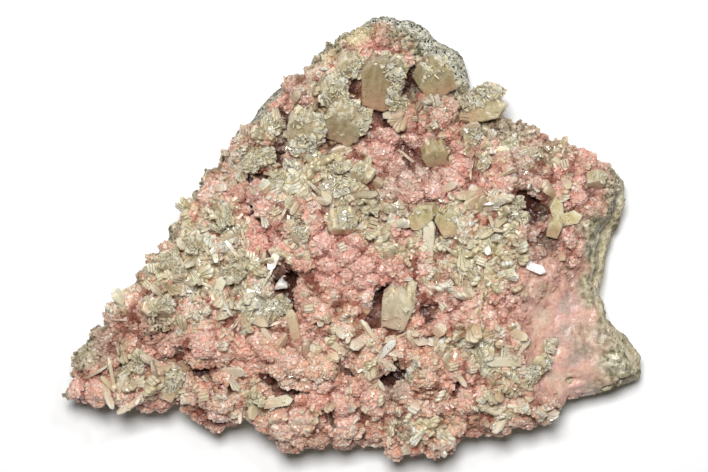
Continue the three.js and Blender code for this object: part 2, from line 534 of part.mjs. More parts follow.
// A sheaf: tablets side by side and in layers that spread towards their tips.
function sheaf({ at, size, heading, rise, across = 1, layers = 1, fan = 0 }, growth) {
  const [length, width, thickness] = size;
  const frame = crystalFrame([...at, restingHeight(at, size, heading, rise)], heading, rise);
  const next = seeded(Math.round(Math.abs(at[0] * 31 + at[1] * 57)) + 3);
  const overlapX = across > 1 ? SHEAF.overlapAcross : 1;
  const overlapZ = layers > 1 ? SHEAF.overlapLayers : 1;
  const pieces = [];
  for (let a = 0; a < across; a++) {
    for (let b = 0; b < layers; b++) {
      const [u, v] = [(a + 0.5) / across - 0.5, (b + 0.5) / layers - 0.5];
      const blade = tablet(
        length * mix(SHEAF_SHORTEST, 1, next()) * (1 - SHEAF_EDGE_LOSS * Math.abs(u)) + 2 * growth,
        (width * overlapX) / across + 2 * growth,
        ((thickness * overlapZ) / layers) * mix(SHEAF_THINNEST, 1, next()) + 2 * growth,
      );
      const slip = [(next() - 0.5) * SHEAF.slip * length, (next() - 0.5) * SHEAF.slip * thickness];
      const local = new THREE.Matrix4()
        .makeRotationZ(-radians(fan) * u)
        .multiply(new THREE.Matrix4().makeRotationX(radians(fan) * v * LAYER_FAN))
        .setPosition(u * width * SHEAF.spread, slip[0], v * thickness * SHEAF.stack + slip[1]);
      pieces.push(solidOf(blade, frame.clone().multiply(local)));
    }
  }
  return pieces.reduce((sum, piece) => sum.add(piece));
}

// A bouquet: tablets that radiate from one root a little above the crust.
function bouquet({ at, tablets, length }, growth, seed) {
  const next = seeded(seed);
  const root = new THREE.Vector3(...at, crustHeight(...at) + BOUQUET_ROOT);
  const pieces = Array.from({ length: tablets }, (_, n) => {
    const long = length * mix(0.72, 1, next());
    const heading = (360 * (n + 0.7 * next())) / tablets;
    const rise = n === 0 ? UPRIGHT : mix(...BOUQUET_RISE, next());
    const blade = tablet(
      long + 2 * growth,
      long * BOUQUET_TABLET.width + 2 * growth,
      long * BOUQUET_TABLET.thickness + 2 * growth,
    );
    blade.translate(0, long * BOUQUET_TABLET.fromRoot, 0);
    return solidOf(blade, crystalFrame(root.toArray(), heading, rise, next() * Math.PI));
  });
  return pieces.reduce((sum, piece) => sum.add(piece));
}

function geometryOf(solid) {
  const mesh = solid.getMesh();
  const geometry = new THREE.BufferGeometry();
  geometry.setAttribute("position", new THREE.BufferAttribute(mesh.vertProperties, 3));
  geometry.setIndex(new THREE.BufferAttribute(mesh.triVerts, 1));
  return geometry;
}

// The largest of the bodies that a cut leaves, without the slivers along the cut.
const mainBody = (solid) =>
  solid
    .decompose()
    .reduce((best, body) => (body.volume() > best.volume() ? body : best))
    .simplify(SLIVER);

// ---- assembly ----
const slab = new THREE.Group();
function place(name, solid, material) {
  const mesh = new THREE.Mesh(geometryOf(solid), material);
  mesh.name = name;
  slab.add(mesh);
}

const rock = rockSolid();
const crust = crustSolid();
place("matrix_rock", rock, ROCK);
place("pink_crust", crust, DRUSE);

const grown = [
  ...Object.entries(CRYSTALS).map(([name, members]) => ({
    name,
    make: (growth) => members.map((member) => sheaf(member, growth)).reduce((sum, one) => sum.add(one)),
  })),
  ...BOUQUETS.map((flower, n) => ({
    name: `stilbite_bouquet_${n + 1}`,
    make: (growth) => bouquet(flower, growth, 11 + n),
  })),
];

// Each crystal ends where the crust, the rock or an earlier crystal begins.
let taken = crustRoom(CLEARANCE).add(rockSolid(CLEARANCE));
for (const { name, make } of grown) {
  const solid = mainBody(make(0).subtract(taken));
  taken = taken.add(make(CLEARANCE));
  place(name, solid, STILBITE);
}

// The slab is moved so that the origin lies below its middle.
const middle = new THREE.Box3().setFromObject(slab).getCenter(new THREE.Vector3());
slab.position.set(-middle.x, -middle.y, 0);
const specimen = new THREE.Group();
specimen.add(slab);

export default specimen;
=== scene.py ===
# %% [markdown]
# # A stilbite specimen, finished in Blender
# The real thing is a slab of altered volcanic rock whose one face is crusted with a pink druse, a
# coat of thousands of small crystals. Cream to olive stilbite grew on top of it, as tablets,
# sheaves and bouquets. The slab lies on its flat back, with its crystals up.
#
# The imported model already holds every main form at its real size. This lesson gives each form its
# fine surface: displacement for what is lumpy, Geometry Nodes for what repeats by the thousand,
# and node materials for what is only colour.

import math
from contextlib import contextmanager

import bmesh
import bpy
import numpy as np
from mathutils import Matrix, Vector, noise


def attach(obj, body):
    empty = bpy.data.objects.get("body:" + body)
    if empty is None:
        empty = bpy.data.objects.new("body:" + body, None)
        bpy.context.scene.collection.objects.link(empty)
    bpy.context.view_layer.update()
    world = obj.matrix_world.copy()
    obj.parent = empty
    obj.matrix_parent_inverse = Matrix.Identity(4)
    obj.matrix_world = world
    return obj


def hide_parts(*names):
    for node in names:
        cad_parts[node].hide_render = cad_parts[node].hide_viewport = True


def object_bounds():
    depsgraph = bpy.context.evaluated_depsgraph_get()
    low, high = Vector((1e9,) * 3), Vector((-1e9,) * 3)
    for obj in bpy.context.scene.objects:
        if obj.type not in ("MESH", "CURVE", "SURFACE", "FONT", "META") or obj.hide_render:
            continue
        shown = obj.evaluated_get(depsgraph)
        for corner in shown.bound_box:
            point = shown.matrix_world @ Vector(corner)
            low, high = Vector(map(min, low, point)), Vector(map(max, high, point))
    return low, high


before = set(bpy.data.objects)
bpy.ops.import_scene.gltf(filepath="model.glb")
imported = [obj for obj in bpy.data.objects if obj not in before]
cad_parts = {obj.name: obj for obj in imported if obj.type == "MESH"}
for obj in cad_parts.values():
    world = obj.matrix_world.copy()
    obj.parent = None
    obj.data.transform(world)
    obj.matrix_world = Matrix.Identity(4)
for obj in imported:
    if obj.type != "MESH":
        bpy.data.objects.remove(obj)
cad_low, cad_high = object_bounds()
scene = bpy.context.scene
MM = 0.001
print("CAD box in mm:", [round(v / MM, 1) for v in (*cad_low, *cad_high)])

# %% [markdown]
# ## Small tools
# A CAD node arrives as loose triangles that must not change. A copy of it can be merged, remeshed
# and moved point by point. Arrays of coordinates are much faster than a loop over vertices, so
# points are read and written as arrays, in millimetres, because the features have sizes in
# millimetres.


# %% Copies and modifiers
WELD = 0.0005  # mm within which two corners of a CAD mesh are one


def new_object(name, mesh):
    piece = bpy.data.objects.new(name, mesh)
    scene.collection.objects.link(piece)
    return piece


@contextmanager
def opened(mesh):
    """A mesh in the form that bmesh can edit. It is written back at the end."""
    form = bmesh.new()
    form.from_mesh(mesh)
    yield form
    form.to_mesh(mesh)
    form.free()


def merged_mesh(node):
    """A closed copy of a CAD node's mesh."""
    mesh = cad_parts[node].data.copy()
    mesh.materials.clear()
    if "custom_normal" in mesh.attributes:
        mesh.attributes.remove(mesh.attributes["custom_normal"])
    with opened(mesh) as form:
        bmesh.ops.remove_doubles(form, verts=form.verts, dist=WELD * MM)
    return mesh


def settle(piece):
    """Makes the result of a piece's modifiers its plain mesh."""
    bpy.context.view_layer.update()
    evaluated = piece.evaluated_get(bpy.context.evaluated_depsgraph_get())
    mesh = bpy.data.meshes.new_from_object(evaluated)
    piece.modifiers.clear()
    piece.data = mesh
    return mesh


def modified(piece, kind, **settings):
    """Changes a piece's mesh by one modifier."""
    modifier = piece.modifiers.new("change", kind)
    for name, value in settings.items():
        setattr(modifier, name, value)
    return settle(piece)


# %% Points and attributes
def vectors_of(mesh, what):
    values = np.empty(len(mesh.vertices) * 3)
    mesh.vertices.foreach_get(what, values)
    return values.reshape(-1, 3)


def points_of(mesh):
    return vectors_of(mesh, "co") / MM


def normals_of(mesh):
    return vectors_of(mesh, "normal")


def move_points(mesh, points):
    mesh.vertices.foreach_set("co", (points * MM).ravel())
    mesh.update()


def write_attributes(mesh, **fields):
    """Gives every point a number under each name. A field that is there already is written over."""
    for name, values in fields.items():
        layer = mesh.attributes.get(name) or mesh.attributes.new(name, "FLOAT", "POINT")
        layer.data.foreach_set("value", np.full(len(mesh.vertices), values, dtype=float))


def triangles_of(mesh):
    return sum(len(face.vertices) - 2 for face in mesh.polygons)


def smoothstep(value, low, high):
    """0 below low, 1 above high, and a soft slope between them."""
    share = np.clip((value - low) / (high - low), 0, 1)
    return share * share * (3 - 2 * share)


# %% [markdown]
# Two kinds of noise shape everything natural here. Smooth noise gives slow change. Cell noise
# gives the borders between growths that started from scattered seeds and met each other, and a
# dome inside those borders is what a crust that grew from many seeds looks like.

# %% Noise over points
SLOW_STEPS = (17.3, 5.1, 9.7)  # how far each seed number moves the pattern
CELL_STEPS = (3.9, 11.3, 7.7)
FAR_INSIDE = 0.7  # a growth's middle is nearer to its own seed than to the next by this much
MIXER = np.array([12.99, 78.23, 37.72])  # these two turn a place into a value as if by chance
BLOW_UP = 4375.85


def slow_noise(points, size, seed):
    """Values from about -1 to 1 that change over the size given, in millimetres."""
    shift = Vector([seed * step for step in SLOW_STEPS])
    return np.array([noise.noise(Vector(p) / size + shift) for p in points])


def nearest_seeds(points, size, seed):
    """For each point, how far its nearest seeds are and where they lie."""
    shift = Vector([seed * step for step in CELL_STEPS])
    return (noise.voronoi(Vector(p) / size + shift) for p in points)


def borders(points, size, seed):
    """How far each point is from the border between two seeds' growths: 0 on it, 1 far inside."""
    found = nearest_seeds(points, size, seed)
    return np.array([min((far[1] - far[0]) / FAR_INSIDE, 1) for far, _ in found])


def seed_values(points, size, seed):
    """A value from 0 to 1 for each point that is the same over the whole growth of one seed."""
    seeds = np.array([places[0] for _, places in nearest_seeds(points, size, seed)])
    waves = np.sin(seeds @ MIXER) * BLOW_UP
    return waves - np.floor(waves)


def domes(points, size, seed):
    """Rounded heads that touch each other, 1 on top of each and 0 in the clefts between them."""
    return np.sqrt(1 - (1 - borders(points, size, seed)) ** 2)


# %% [markdown]
# ## Where each growth lies
# Stilbite isn't spread evenly. It is thick along the west, at the north end and over the middle,
# thin in the south, and absent on the worn south-east corner, where the crust is smooth. The crust
# and its stains vary in the same way. Each growth or stain is a few soft patches with ragged
# edges: middle x and y, reach along X and Y, in millimetres, and how strong it is there.

# %% Patches of growth
PATCHES = {
    "stilbite": [
        (-33, 1, 15, 12, 1), (-42, -7, 12, 10, 1), (-27, -9, 12, 9, 1), (-14, 20, 12, 13, 0.95),
        (-24, 14, 9, 9, 0.9), (-5, 31, 9, 11, 0.95), (4, 40, 6, 6, 0.7), (16, 33, 5, 7, 0.7),
        (0, 8, 9, 8, 0.9), (14, 2, 18, 8, 1), (30, -5, 11, 9, 0.95), (36, 6, 8, 7, 0.7),
        (23, 38, 7, 9, 0.6), (-13, -2, 7, 7, 0.8), (12, 22, 8, 6, 0.6), (30, 20, 7, 5, 0.7),
        (44, 17, 6, 4, 0.8), (50, 10, 7, 6, 0.35), (-50, -36, 14, 6, 0.42),
        (-51, -17, 9, 7, 0.7), (-22, -15, 12, 6, 0.85),
        (-38, -22, 8, 5, 0.6), (-26, -40, 7, 6, 0.6), (29, -26, 12, 7, 0.75), (36, -37, 8, 8, 0.8),
        (15, -46, 9, 5, 0.8), (-9, -39, 6, 5, 0.5), (-6, -24, 7, 6, 0.45), (11, -14, 7, 6, 0.6),
        (44, -42, 6, 5, 0.6), (5, -32, 6, 7, 0.5), (22, -12, 8, 5, 0.7), (-12, -27, 5, 5, 0.4),
    ],
    "blades": [
        (-50, -36, 14, 7, 1), (-24, -17, 12, 7, 0.9), (-35, -8, 12, 8, 0.8), (29, -27, 12, 7, 0.9),
        (8, -30, 9, 9, 0.6), (36, -37, 9, 7, 0.7), (-12, 10, 9, 7, 0.6), (28, 2, 10, 9, 0.6),
        (-30, -36, 8, 6, 0.6), (-50, -17, 8, 6, 0.5), (15, -46, 8, 4, 0.5),
    ],
    "worn": [(54, -26, 17, 19, 1), (60, -8, 8, 16, 0.8), (46, -14, 8, 10, 0.6)],
    "peach": [
        (-18, -30, 11, 10, 0.9), (-8, -20, 10, 7, 0.8), (18, -33, 11, 9, 0.8), (30, -20, 9, 6, 0.5),
        (-62, -38, 7, 5, 0.6), (-34, -42, 8, 5, 0.5), (44, -42, 9, 5, 0.7), (56, -32, 12, 5, 0.9),
        (58, -14, 7, 6, 0.8), (20, -48, 9, 6, 0.8), (-6, -34, 8, 6, 0.6), (-45, -12, 8, 5, 0.4),
        (-64, -32, 5, 8, 0.5), (50, -8, 8, 4, 0.4), (-52, -37, 14, 6, 0.8),
    ],
    "grey": [
        (50, -18, 7, 4, 1), (58, -26, 8, 4, 0.8), (48, -29, 4, 5, 0.8), (43, -3, 6, 4, 0.9),
        (62, -8, 4, 10, 0.8), (62, -22, 5, 5, 0.7), (-61, -27, 6, 5, 0.8), (11, 14, 5, 4, 0.6),
        (9, -37, 4, 4, 0.9), (18, 15, 6, 3, 0.5), (4, 8, 8, 5, 0.7), (26, -9, 6, 4, 0.6),
        (40, 16, 6, 5, 0.7), (-13, 34, 4, 4, 0.6), (-44, 3, 5, 3, 0.4), (44, -12, 5, 5, 0.6),
    ],
    "rosy": [
        (11, 21, 9, 6, 1), (-25, 9, 4, 8, 0.9), (-22, -1, 6, 5, 1),
        (3, 45, 7, 3.5, 1), (50, 6, 9, 9, 0.6),
        (16, 10, 9, 4, 0.9), (25, 17, 7, 5, 0.9), (13, 0, 6, 3, 0.7), (57, 9, 6, 8, 0.5),
        (-6, -2, 9, 5, 1), (0, -9, 12, 5, 0.9), (-12, -20, 8, 8, 0.7), (-20, -28, 10, 6, 0.8),
        (-64, -36, 7, 6, 1), (-50, -40, 12, 3, 0.7), (-36, -26, 7, 5, 0.8),
        (-3, -40, 12, 6, 0.9), (22, -18, 8, 5, 0.8),
        (26, -34, 6, 6, 0.8), (8, 33, 4, 6, 0.9), (-14, 29, 3, 7, 0.7), (-30, 8, 4, 8, 0.5),
        (36, -20, 8, 6, 0.7), (-46, -26, 7, 4, 0.6), (-54, -22, 6, 4, 0.5), (46, 14, 6, 4, 0.5),
        (-30, -46, 6, 4, 0.8), (-6, 4, 6, 3, 0.6), (32, 11, 6, 4, 0.6),
    ],
    "yellow": [(0, 49, 6, 4, 1), (-7, 43, 4, 3, 0.7)],
    "smoky": [
        (6, 33, 10, 11, 0.4), (-10, 26, 9, 10, 0.9), (-27, 16, 6, 8, 0.7),
        (18, 34, 7, 8, 0.7), (30, 30, 7, 6, 0.7),
        (-20, 22, 7, 8, 0.5), (-50, -22, 12, 6, 0.9), (15, 20, 9, 9, 0.2), (-44, -33, 9, 5, 0.4),
        (-2, 15, 8, 6, 0.4), (-16, -14, 5, 7, 0.6), (10, -34, 6, 5, 0.6), (26, 22, 8, 6, 0.5),
    ],
    "bare": [
        (59, -3, 6, 11, 1), (57, -13, 4.5, 6, 0.9), (60, -22, 4, 6, 0.8), (66, -30, 8, 8, 1),
        (57, -25, 8, 5, 0.45), (63, -36, 9, 3, 0.6),
        (14, 51, 9, 7, 1), (21, 45, 9, 8, 1), (27, 37, 7, 9, 1), (30, 29, 5, 6, 0.9), (65, 9, 8, 12, 0.9),
        (37, 25, 7, 4, 0.8), (46, 20, 6, 3, 0.6), (62, -10, 7, 9, 0.8), (64, -24, 6, 7, 0.8),
        (70, -33, 11, 6, 0.9), (-66, -28, 5, 6, 0.8), (-4, 53, 6, 3, 0.7), (-48, -5, 3, 3, 0.5),
    ],
    "soot": [
        (-49, -22.5, 6, 3.2, 1), (-16, 41, 4, 3, 0.5), (-28, 20, 5, 4, 0.6), (2, 6, 5, 3, 0.5),
        (-18, -12, 5, 6, 0.5), (-18, -16, 4, 3, 0.6), (5, 31, 3, 3, 0.3),
        (-3, 37, 4, 3, 0.5), (-13, 34, 3, 3, 0.6), (-16, 28, 4, 4, 0.4), (-38, -17, 4, 3, 0.6),
    ],
}

# %% [markdown]
# The crust has deep hollows and clefts between its heads, at places of their own. Each is an oval:
# middle x and y, half its length and half its width, its direction in degrees, and its depth.

# %% Hollows
HOLLOWS = [
    (-24.2, 5.2, 4.2, 1.6, -60, 4.5), (-20.6, -6.1, 3.6, 1.4, -65, 4.5),
    (-16.4, -12.8, 6.0, 3.0, -78, 6.5), (-15.1, -17.9, 2.6, 1.6, -60, 4.5),
    (-21.1, -34.2, 3.4, 1.6, -35, 4.5), (-15.4, -37.3, 5, 1.5, -5, 4), (6.2, -15.0, 3.4, 2.8, 20, 6.5),
    (4.3, -19.6, 2.4, 3.2, 0, 3.5), (16.8, -18.8, 3.6, 2, -60, 4.5), (41.5, 6.4, 5, 3.2, -35, 5.5),
    (46.1, -2, 4, 2.4, -20, 3), (55.4, 10.2, 2.4, 1.3, -40, 3), (9.1, -34, 4, 2.8, 15, 6.5),
    (-37.9, -32.8, 5, 1.7, -30, 4.5), (-29.8, -36.8, 2.8, 1.3, 70, 4), (-18.2, 19.6, 4.2, 1.3, 88, 5),
    (-17, 27.5, 3.6, 1.4, -75, 4), (-0.7, 34.7, 3, 1.6, 80, 4.5), (13.2, 36.4, 5, 2, 85, 5),
    (7.4, 27, 4.6, 2.4, -20, 3.4), (13, 17.9, 4.6, 2.6, -35, 3.2), (-46.1, -30.1, 3, 1.4, 15, 3.5),
    (-55.9, -31.6, 2.6, 1.2, 75, 3), (23.8, -36.4, 3.4, 1.2, 75, 4), (34.3, -28.4, 1.8, 2.4, 0, 3),
    (-2.2, -32.5, 4, 1.4, -45, 3.5), (-5.3, -45.2, 2.8, 1.6, -60, 3), (-23.8, 12.8, 3, 1.6, 0, 3.5),
    (-7.9, 28.4, 3.4, 1.3, -60, 3.5), (-5.8, 21.2, 3, 1.5, -75, 3.5), (19.9, 1.1, 3, 1.4, 30, 3.5),
    (-35.8, -7.6, 3.2, 1.4, -55, 3), (-42.7, -28.9, 2.6, 1.4, 60, 3), (35, 19.1, 3.4, 1, 25, 2.5),
    (38.6, -38.5, 2.2, 1.4, 0, 2.5),
]
DEEPEST = 5.5  # a hollow of this depth, or deeper, counts in full


def in_hollow(points, widened=1.0):
    """How far into a hollow each point is, from 0 to 1, with the hollows widened by a factor."""
    ragged = 0.3 * slow_noise(points, 1.8, 31)
    most = np.zeros(len(points))
    for x, y, half_length, half_width, heading, depth in HOLLOWS:
        turn = math.radians(heading)
        east, north = points[:, 0] - x, points[:, 1] - y
        along = east * math.cos(turn) + north * math.sin(turn)
        aside = north * math.cos(turn) - east * math.sin(turn)
        far = np.hypot(along / half_length, aside / half_width) / widened + ragged
        most = np.maximum(most, min(depth / DEEPEST, 1) * (1 - smoothstep(far, 0.6, 1.2)))
    return most


def patch_strength(points, name, ragged=0.35):
    """How strong a growth is at each point, from 0 to 1."""
    edge = ragged * slow_noise(points, 5, 2) + 0.5 * ragged * slow_noise(points, 2, 3)
    strength = np.zeros(len(points))
    for x, y, reach_x, reach_y, most in PATCHES[name]:
        far = np.hypot((points[:, 0] - x) / reach_x, (points[:, 1] - y) / reach_y) + edge
        strength = np.maximum(strength, most * (1 - smoothstep(far, 0.6, 1.15)))
    return strength


print("patches:", {name: len(rows) for name, rows in PATCHES.items()}, "hollows:", len(HOLLOWS))

# %% [markdown]
# ## A map over the plane
# Some questions are easier from above: how high are a point's surroundings, and does something
# stand on it? Values are gathered in the square cells of a grid over the plane. A blur by sums
# along one axis and then the other spreads them.

# %% Grid tools
GRID_STEP = 0.6
GRID_EDGE = 4  # mm of grid outside the part


def grid_cells(points):
    """The column and the row of the cell that each point is in."""
    low = np.array([cad_low.x, cad_low.y]) / MM - GRID_EDGE
    return tuple(np.floor((points[:, :2] - low) / GRID_STEP).astype(int).T)


def empty_grid(*places, fill=0.0):
    """A grid with a cell for every one of the places."""
    return np.full([max(cells[axis].max() for cells in places) + 1 for axis in (0, 1)], fill)


def box_blur(grid, cells):
    """The sum over a square of cells to each side, along one axis and then the other."""
    for axis in (0, 1):
        padding = [(cells + 1, cells) if a == axis else (0, 0) for a in (0, 1)]
        sums = np.cumsum(np.pad(grid, padding), axis)
        size = grid.shape[axis]
        upper = np.take(sums, range(2 * cells + 1, 2 * cells + 1 + size), axis)
        grid = upper - np.take(sums, range(size), axis)
    return grid


def height_around(points, reach):
    """The mean height of the points around each point."""
    cells = grid_cells(points)
    total, count = empty_grid(cells), empty_grid(cells)
    np.add.at(total, cells, points[:, 2])
    np.add.at(count, cells, 1)
    steps = round(reach / GRID_STEP)
    for _ in range(2):
        total, count = box_blur(total, steps), box_blur(count, steps)
    return (total / np.maximum(count, 1e-9))[cells]


# %% [markdown]
# ## The crust's ground
# Under its small crystals the druse is a lumpy sheet: mounds of about 12 mm, on them heads of
# about 5 mm that grew from separate seeds, and knobs on those. It could be sculpted by hand. Here
# the CAD crust is remeshed into even faces, so that displacement has enough points everywhere.

# %% Even faces
CRUST_VOXEL = 0.72


def remeshed(node, voxel, name):
    piece = new_object(name, merged_mesh(node))
    modified(piece, "REMESH", mode="VOXEL", voxel_size=voxel * MM)
    return piece


ground = remeshed("pink_crust", CRUST_VOXEL, "druse_ground")
ground_points = points_of(ground.data)
ground_normals = normals_of(ground.data)
print("ground:", len(ground_points), "points,", triangles_of(ground.data), "triangles")

# %% [markdown]
# A lump that rose through a large crystal would spoil it, so the ground is kept low where one
# stands. The grid tells where that is: every cell with a bit of a large crystal over it is taken.

# %% Room for the large crystals
CLEARING_REACH = 1.2
CLEARING_SINK = 0.5


def points_over(mesh, spacing=0.5):
    """Points spread over a mesh's triangles, in millimetres."""
    corners = points_of(mesh)
    spread = []
    for face in mesh.polygons:
        a, b, c = (corners[n] for n in face.vertices[:3])
        steps = max(1, math.ceil(max(np.linalg.norm(b - a), np.linalg.norm(c - a)) / spacing))
        for i in range(steps + 1):
            for j in range(steps + 1 - i):
                spread.append(a + (b - a) * i / steps + (c - a) * j / steps)
    return np.array(spread)


def near_crystals(points):
    """1 under a large crystal, falling to 0 a little way out from it."""
    nodes = [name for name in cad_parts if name.startswith("stilbite_")]
    over = np.concatenate([points_over(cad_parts[name].data) for name in nodes])
    under, cells = grid_cells(over), grid_cells(points)
    taken = empty_grid(under, cells)
    taken[under] = 1
    steps = round(CLEARING_REACH / GRID_STEP)
    around = box_blur(taken, steps) / (2 * steps + 1) ** 2
    return smoothstep(around[cells], 0.05, 0.6)


cleared = near_crystals(ground_points)
print("share of the ground near large crystals:", round(float(cleared.mean()), 3))

# %% [markdown]
# The ground is pushed along its normals: out by its lumps, and in by the height of the small
# crystals that will stand on it. Where the crust is worn, its lumps are nearly gone. The steep
# south rim is drawn back a little, because crystals will stand out from it. The underside is let
# down, so that no gap shows between crust and rock from the side.

# %% Shape the ground
GROUND_SINK = 2.8
MOUNDS = {"size": 12, "height": 2.2}
HEADS = {"size": 5.2, "height": 2.9}
KNOBS = {"size": 2.0, "height": 0.9}
GRIT = {"size": 0.9, "height": 0.12}
WEAR = 0.84  # share of the lumps that is gone where the crust is worn
HOLLOW_PUSH = 2.4
UNDERSIDE_DROP = 1.6
SOUTH_RIM_BACK = 1.4
LOWEST = 0.3  # mm that the crust stays above the floor

worn = patch_strength(ground_points, "worn", ragged=0.2)
heads = domes(ground_points, HEADS["size"], 1)
mounds = domes(ground_points, MOUNDS["size"], 7)
outward = smoothstep(ground_normals[:, 2], -0.35, -0.05)  # 0 on faces that look down
rise = (
    MOUNDS["height"] * mounds
    + HEADS["height"] * heads
    + KNOBS["height"] * domes(ground_points, KNOBS["size"], 2)
    + GRIT["height"] * slow_noise(ground_points, GRIT["size"], 4)
)
deep = in_hollow(ground_points)
rough = 1 - WEAR * worn
push = outward * ((rise - GROUND_SINK) * rough * (1 - 0.6 * deep) - HOLLOW_PUSH * deep)
push -= SOUTH_RIM_BACK * outward * smoothstep(-ground_normals[:, 1], 0.25, 0.8)
push = push + cleared * (np.minimum(push, -CLEARING_SINK) - push) * outward
ground_points = ground_points + ground_normals * push[:, None]
underside = smoothstep(-ground_normals[:, 2], 0.1, 0.45)
ground_points[:, 2] -= UNDERSIDE_DROP * underside
ground_points[:, 2] = np.maximum(ground_points[:, 2], LOWEST)
move_points(ground.data, ground_points)
print("pushed by", round(float(push.min()), 1), "to", round(float(push.max()), 1), "mm")

# %% [markdown]
# ## Painted shade in the hollows
# In a real druse the deep clefts look dark red, because little light comes out of them and the
# crystals there are small and deeply coloured. Here that dark red is painted into the colour: mostly
# painted shade, partly the deeper colour of the small crystals. A point gets it where it is lower
# than the mean of its surroundings, in a cleft between two heads, or in one of the hollows above.

# %% Find where shade is painted
HOLLOW_REACH = 4.0
HOLLOW_DEPTH = 2.3
upper = ground_normals[:, 2] > 0.05
top = ground_points[upper]
below = height_around(top, HOLLOW_REACH) - top[:, 2]
hollow = np.zeros(len(ground_points))
hollow[upper] = smoothstep(below, 0.25, HOLLOW_DEPTH)
# painted shade: the clefts between the heads are painted dark
clefts = 1 - smoothstep(heads, 0.34, 0.66) * outward * (1 - worn)
hollow = np.maximum(np.maximum(0.7 * hollow, clefts), deep)
print("share of the ground in clefts:", round(float((clefts[upper] > 0.5).mean()), 3))
print("share of the ground in hollows:", round(float((hollow[upper] > 0.5).mean()), 3))

# %% [markdown]
# ## What the ground carries
# Growths and stains are numbers that every point of the ground carries, as attributes, and so are
# the painted shade of its hollows and the painted highlight of its crests. The tree that scatters
# crystals reads its covers by name, and the materials read their stains, painted shade and
# painted highlight. Stilbite takes room from the pink grains, stays off worn crust, bare rock and
# steep sides, and thins out in uneven gaps.

# %% Work out where things grow
NORTH_WEST = np.array([-0.77, 0.64, 0])
FLANK_TOP = (15, 19)  # mm above the floor between which the bare north-west flank ends
SOUTH = (6, 34)  # mm south of the middle between which the peach tone sets in


def patch(name, ragged=0.35):
    return patch_strength(ground_points, name, ragged)


stilbite = patch("stilbite", 0.5)
rosy = patch("rosy", 0.5)
flank = 0.95 * smoothstep(ground_normals @ NORTH_WEST, 0.35, 0.7)
flank *= 1 - smoothstep(ground_points[:, 2], *FLANK_TOP)
bare = np.maximum(np.maximum(patch("bare"), flank), underside)
south = 0.55 * smoothstep(-ground_points[:, 1], *SOUTH)
clumps = smoothstep(slow_noise(ground_points, 6.5, 21), -0.3, 0.1)
gaps = (1 - clumps) * (1 - 0.75 * smoothstep(stilbite, 0.6, 1))
carpet = np.clip(0.15 + stilbite, 0, 1) * (1 - 0.65 * gaps) * (1 - 0.9 * rosy)
open_ground = outward * (1 - worn) * (1 - 0.9 * bare)
steep = smoothstep(np.hypot(ground_normals[:, 0], ground_normals[:, 1]), 0.55, 0.8)
inside = open_ground * (1 - steep) * (1 - in_hollow(ground_points, 1.6))
blush = np.clip(1.05 - 1.3 * carpet + 0.25 * slow_noise(ground_points, 3.5, 23), 0, 1)
# painted highlight: the druse is painted paler on the crests of heads, knobs and mounds
crest = 0.55 * heads + 0.2 * domes(ground_points, KNOBS["size"], 2) + 0.25 * mounds
print("share of the ground with stilbite:", round(float((carpet[upper] > 0.5).mean()), 3))

# %% Write it on the ground
write_attributes(
    ground.data,
    grain_cover=outward * (1 - 0.6 * carpet) * (1 - worn) ** 2 * (1 - 0.9 * bare),
    crumb_cover=inside * carpet * (1 - 0.3 * hollow),
    blade_cover=inside * (0.05 + 0.95 * patch("blades", 0.5)) * (1 - 0.6 * rosy),
    sheaf_cover=inside * carpet * smoothstep(heads, 0.3, 0.8),
    # painted shade: hollow and deep say where the druse is painted dark red, darkest in the deep hollows
    hollow=hollow,
    deep=deep,
    worn=worn,
    bare=bare,
    carpet=carpet,
    rosy=rosy,
    blush=blush,
    peach=np.maximum(patch("peach"), south),
    grey=patch("grey", 0.6),
    yellow=patch("yellow", 0.2),
    soot=patch("soot", 0.5),
    smoky=patch("smoky", 0.5),
    crest=np.clip(crest, 0, 1),
    tone=0.5 + 0.3 * slow_noise(ground_points, 1.6, 8),
    tint=0.52 + 0.3 * slow_noise(ground_points, 7, 9),
    head_tone=seed_values(ground_points, HEADS["size"], 1),
)
print("the ground carries:", sorted(layer.name for layer in ground.data.attributes))

# %% [markdown]
# ## Trees of nodes
# Geometry Nodes and materials are both trees of nodes joined by links. Written out, each link
# takes a line of its own, so one helper adds a node, sets it up and joins its inputs at once.


# %% A helper for node trees
class Nodes:
    """Adds nodes to a tree and joins them."""

    def __init__(self, tree):
        self.tree = tree

    def put(self, socket, value):
        """Gives an input a plain value, or joins it to an output or to a node's first output."""
        if isinstance(value, bpy.types.Node):
            value = next(output for output in value.outputs if output.enabled)
        if isinstance(value, bpy.types.NodeSocket):
            self.tree.links.new(value, socket)
        else:
            socket.default_value = value

    def feed(self, node, **inputs):
        for name, value in inputs.items():
            self.put(node.inputs[name.replace("_", " ")], value)
        return node

    def add(self, kind, **given):
        """A new node. Names in lower case are its settings, and the others are its inputs."""
        made = self.tree.nodes.new(kind)
        for name in filter(str.islower, given):
            setattr(made, name, given[name])
        return self.feed(made, **{name: given[name] for name in given if not name.islower()})

    def maths(self, operation, *values, clamp=False):
        made = self.add("ShaderNodeMath", operation=operation, use_clamp=clamp)
        for socket, value in zip(made.inputs, values):
            self.put(socket, value)
        return made

    def times(self, first, second):
        return self.maths("MULTIPLY", first, second)


# %% [markdown]
# ## Growing thousands of crystals
# One Geometry Nodes tree grows every kind of small crystal. It scatters points over a surface,
# more of them where a cover attribute is high, stands a copy of one form on each, turns and
# scales it at random, and remembers a random tone for its colour. The attributes of the surface
# travel to the crystals, so a grain in a hollow knows that it is in one.

# %% The scattering tree
TREE_INPUTS = {
    "Surface": "Geometry", "Form": "Object", "Cover": "String", "Spacing": "Float",
    "Density": "Float", "Smallest": "Float", "Largest": "Float", "Tilt": "Float", "Lift": "Float",
    "Seed": "Int", "Finish": "Material",
}
SLIMMEST = (0.7, 0.7, 0.8)  # least width, thickness and length of a crystal, as shares of its form's
STOUTEST = (1.25, 1.25, 1.2)
BUILD_SEED = 5
TONE_SEED = 9


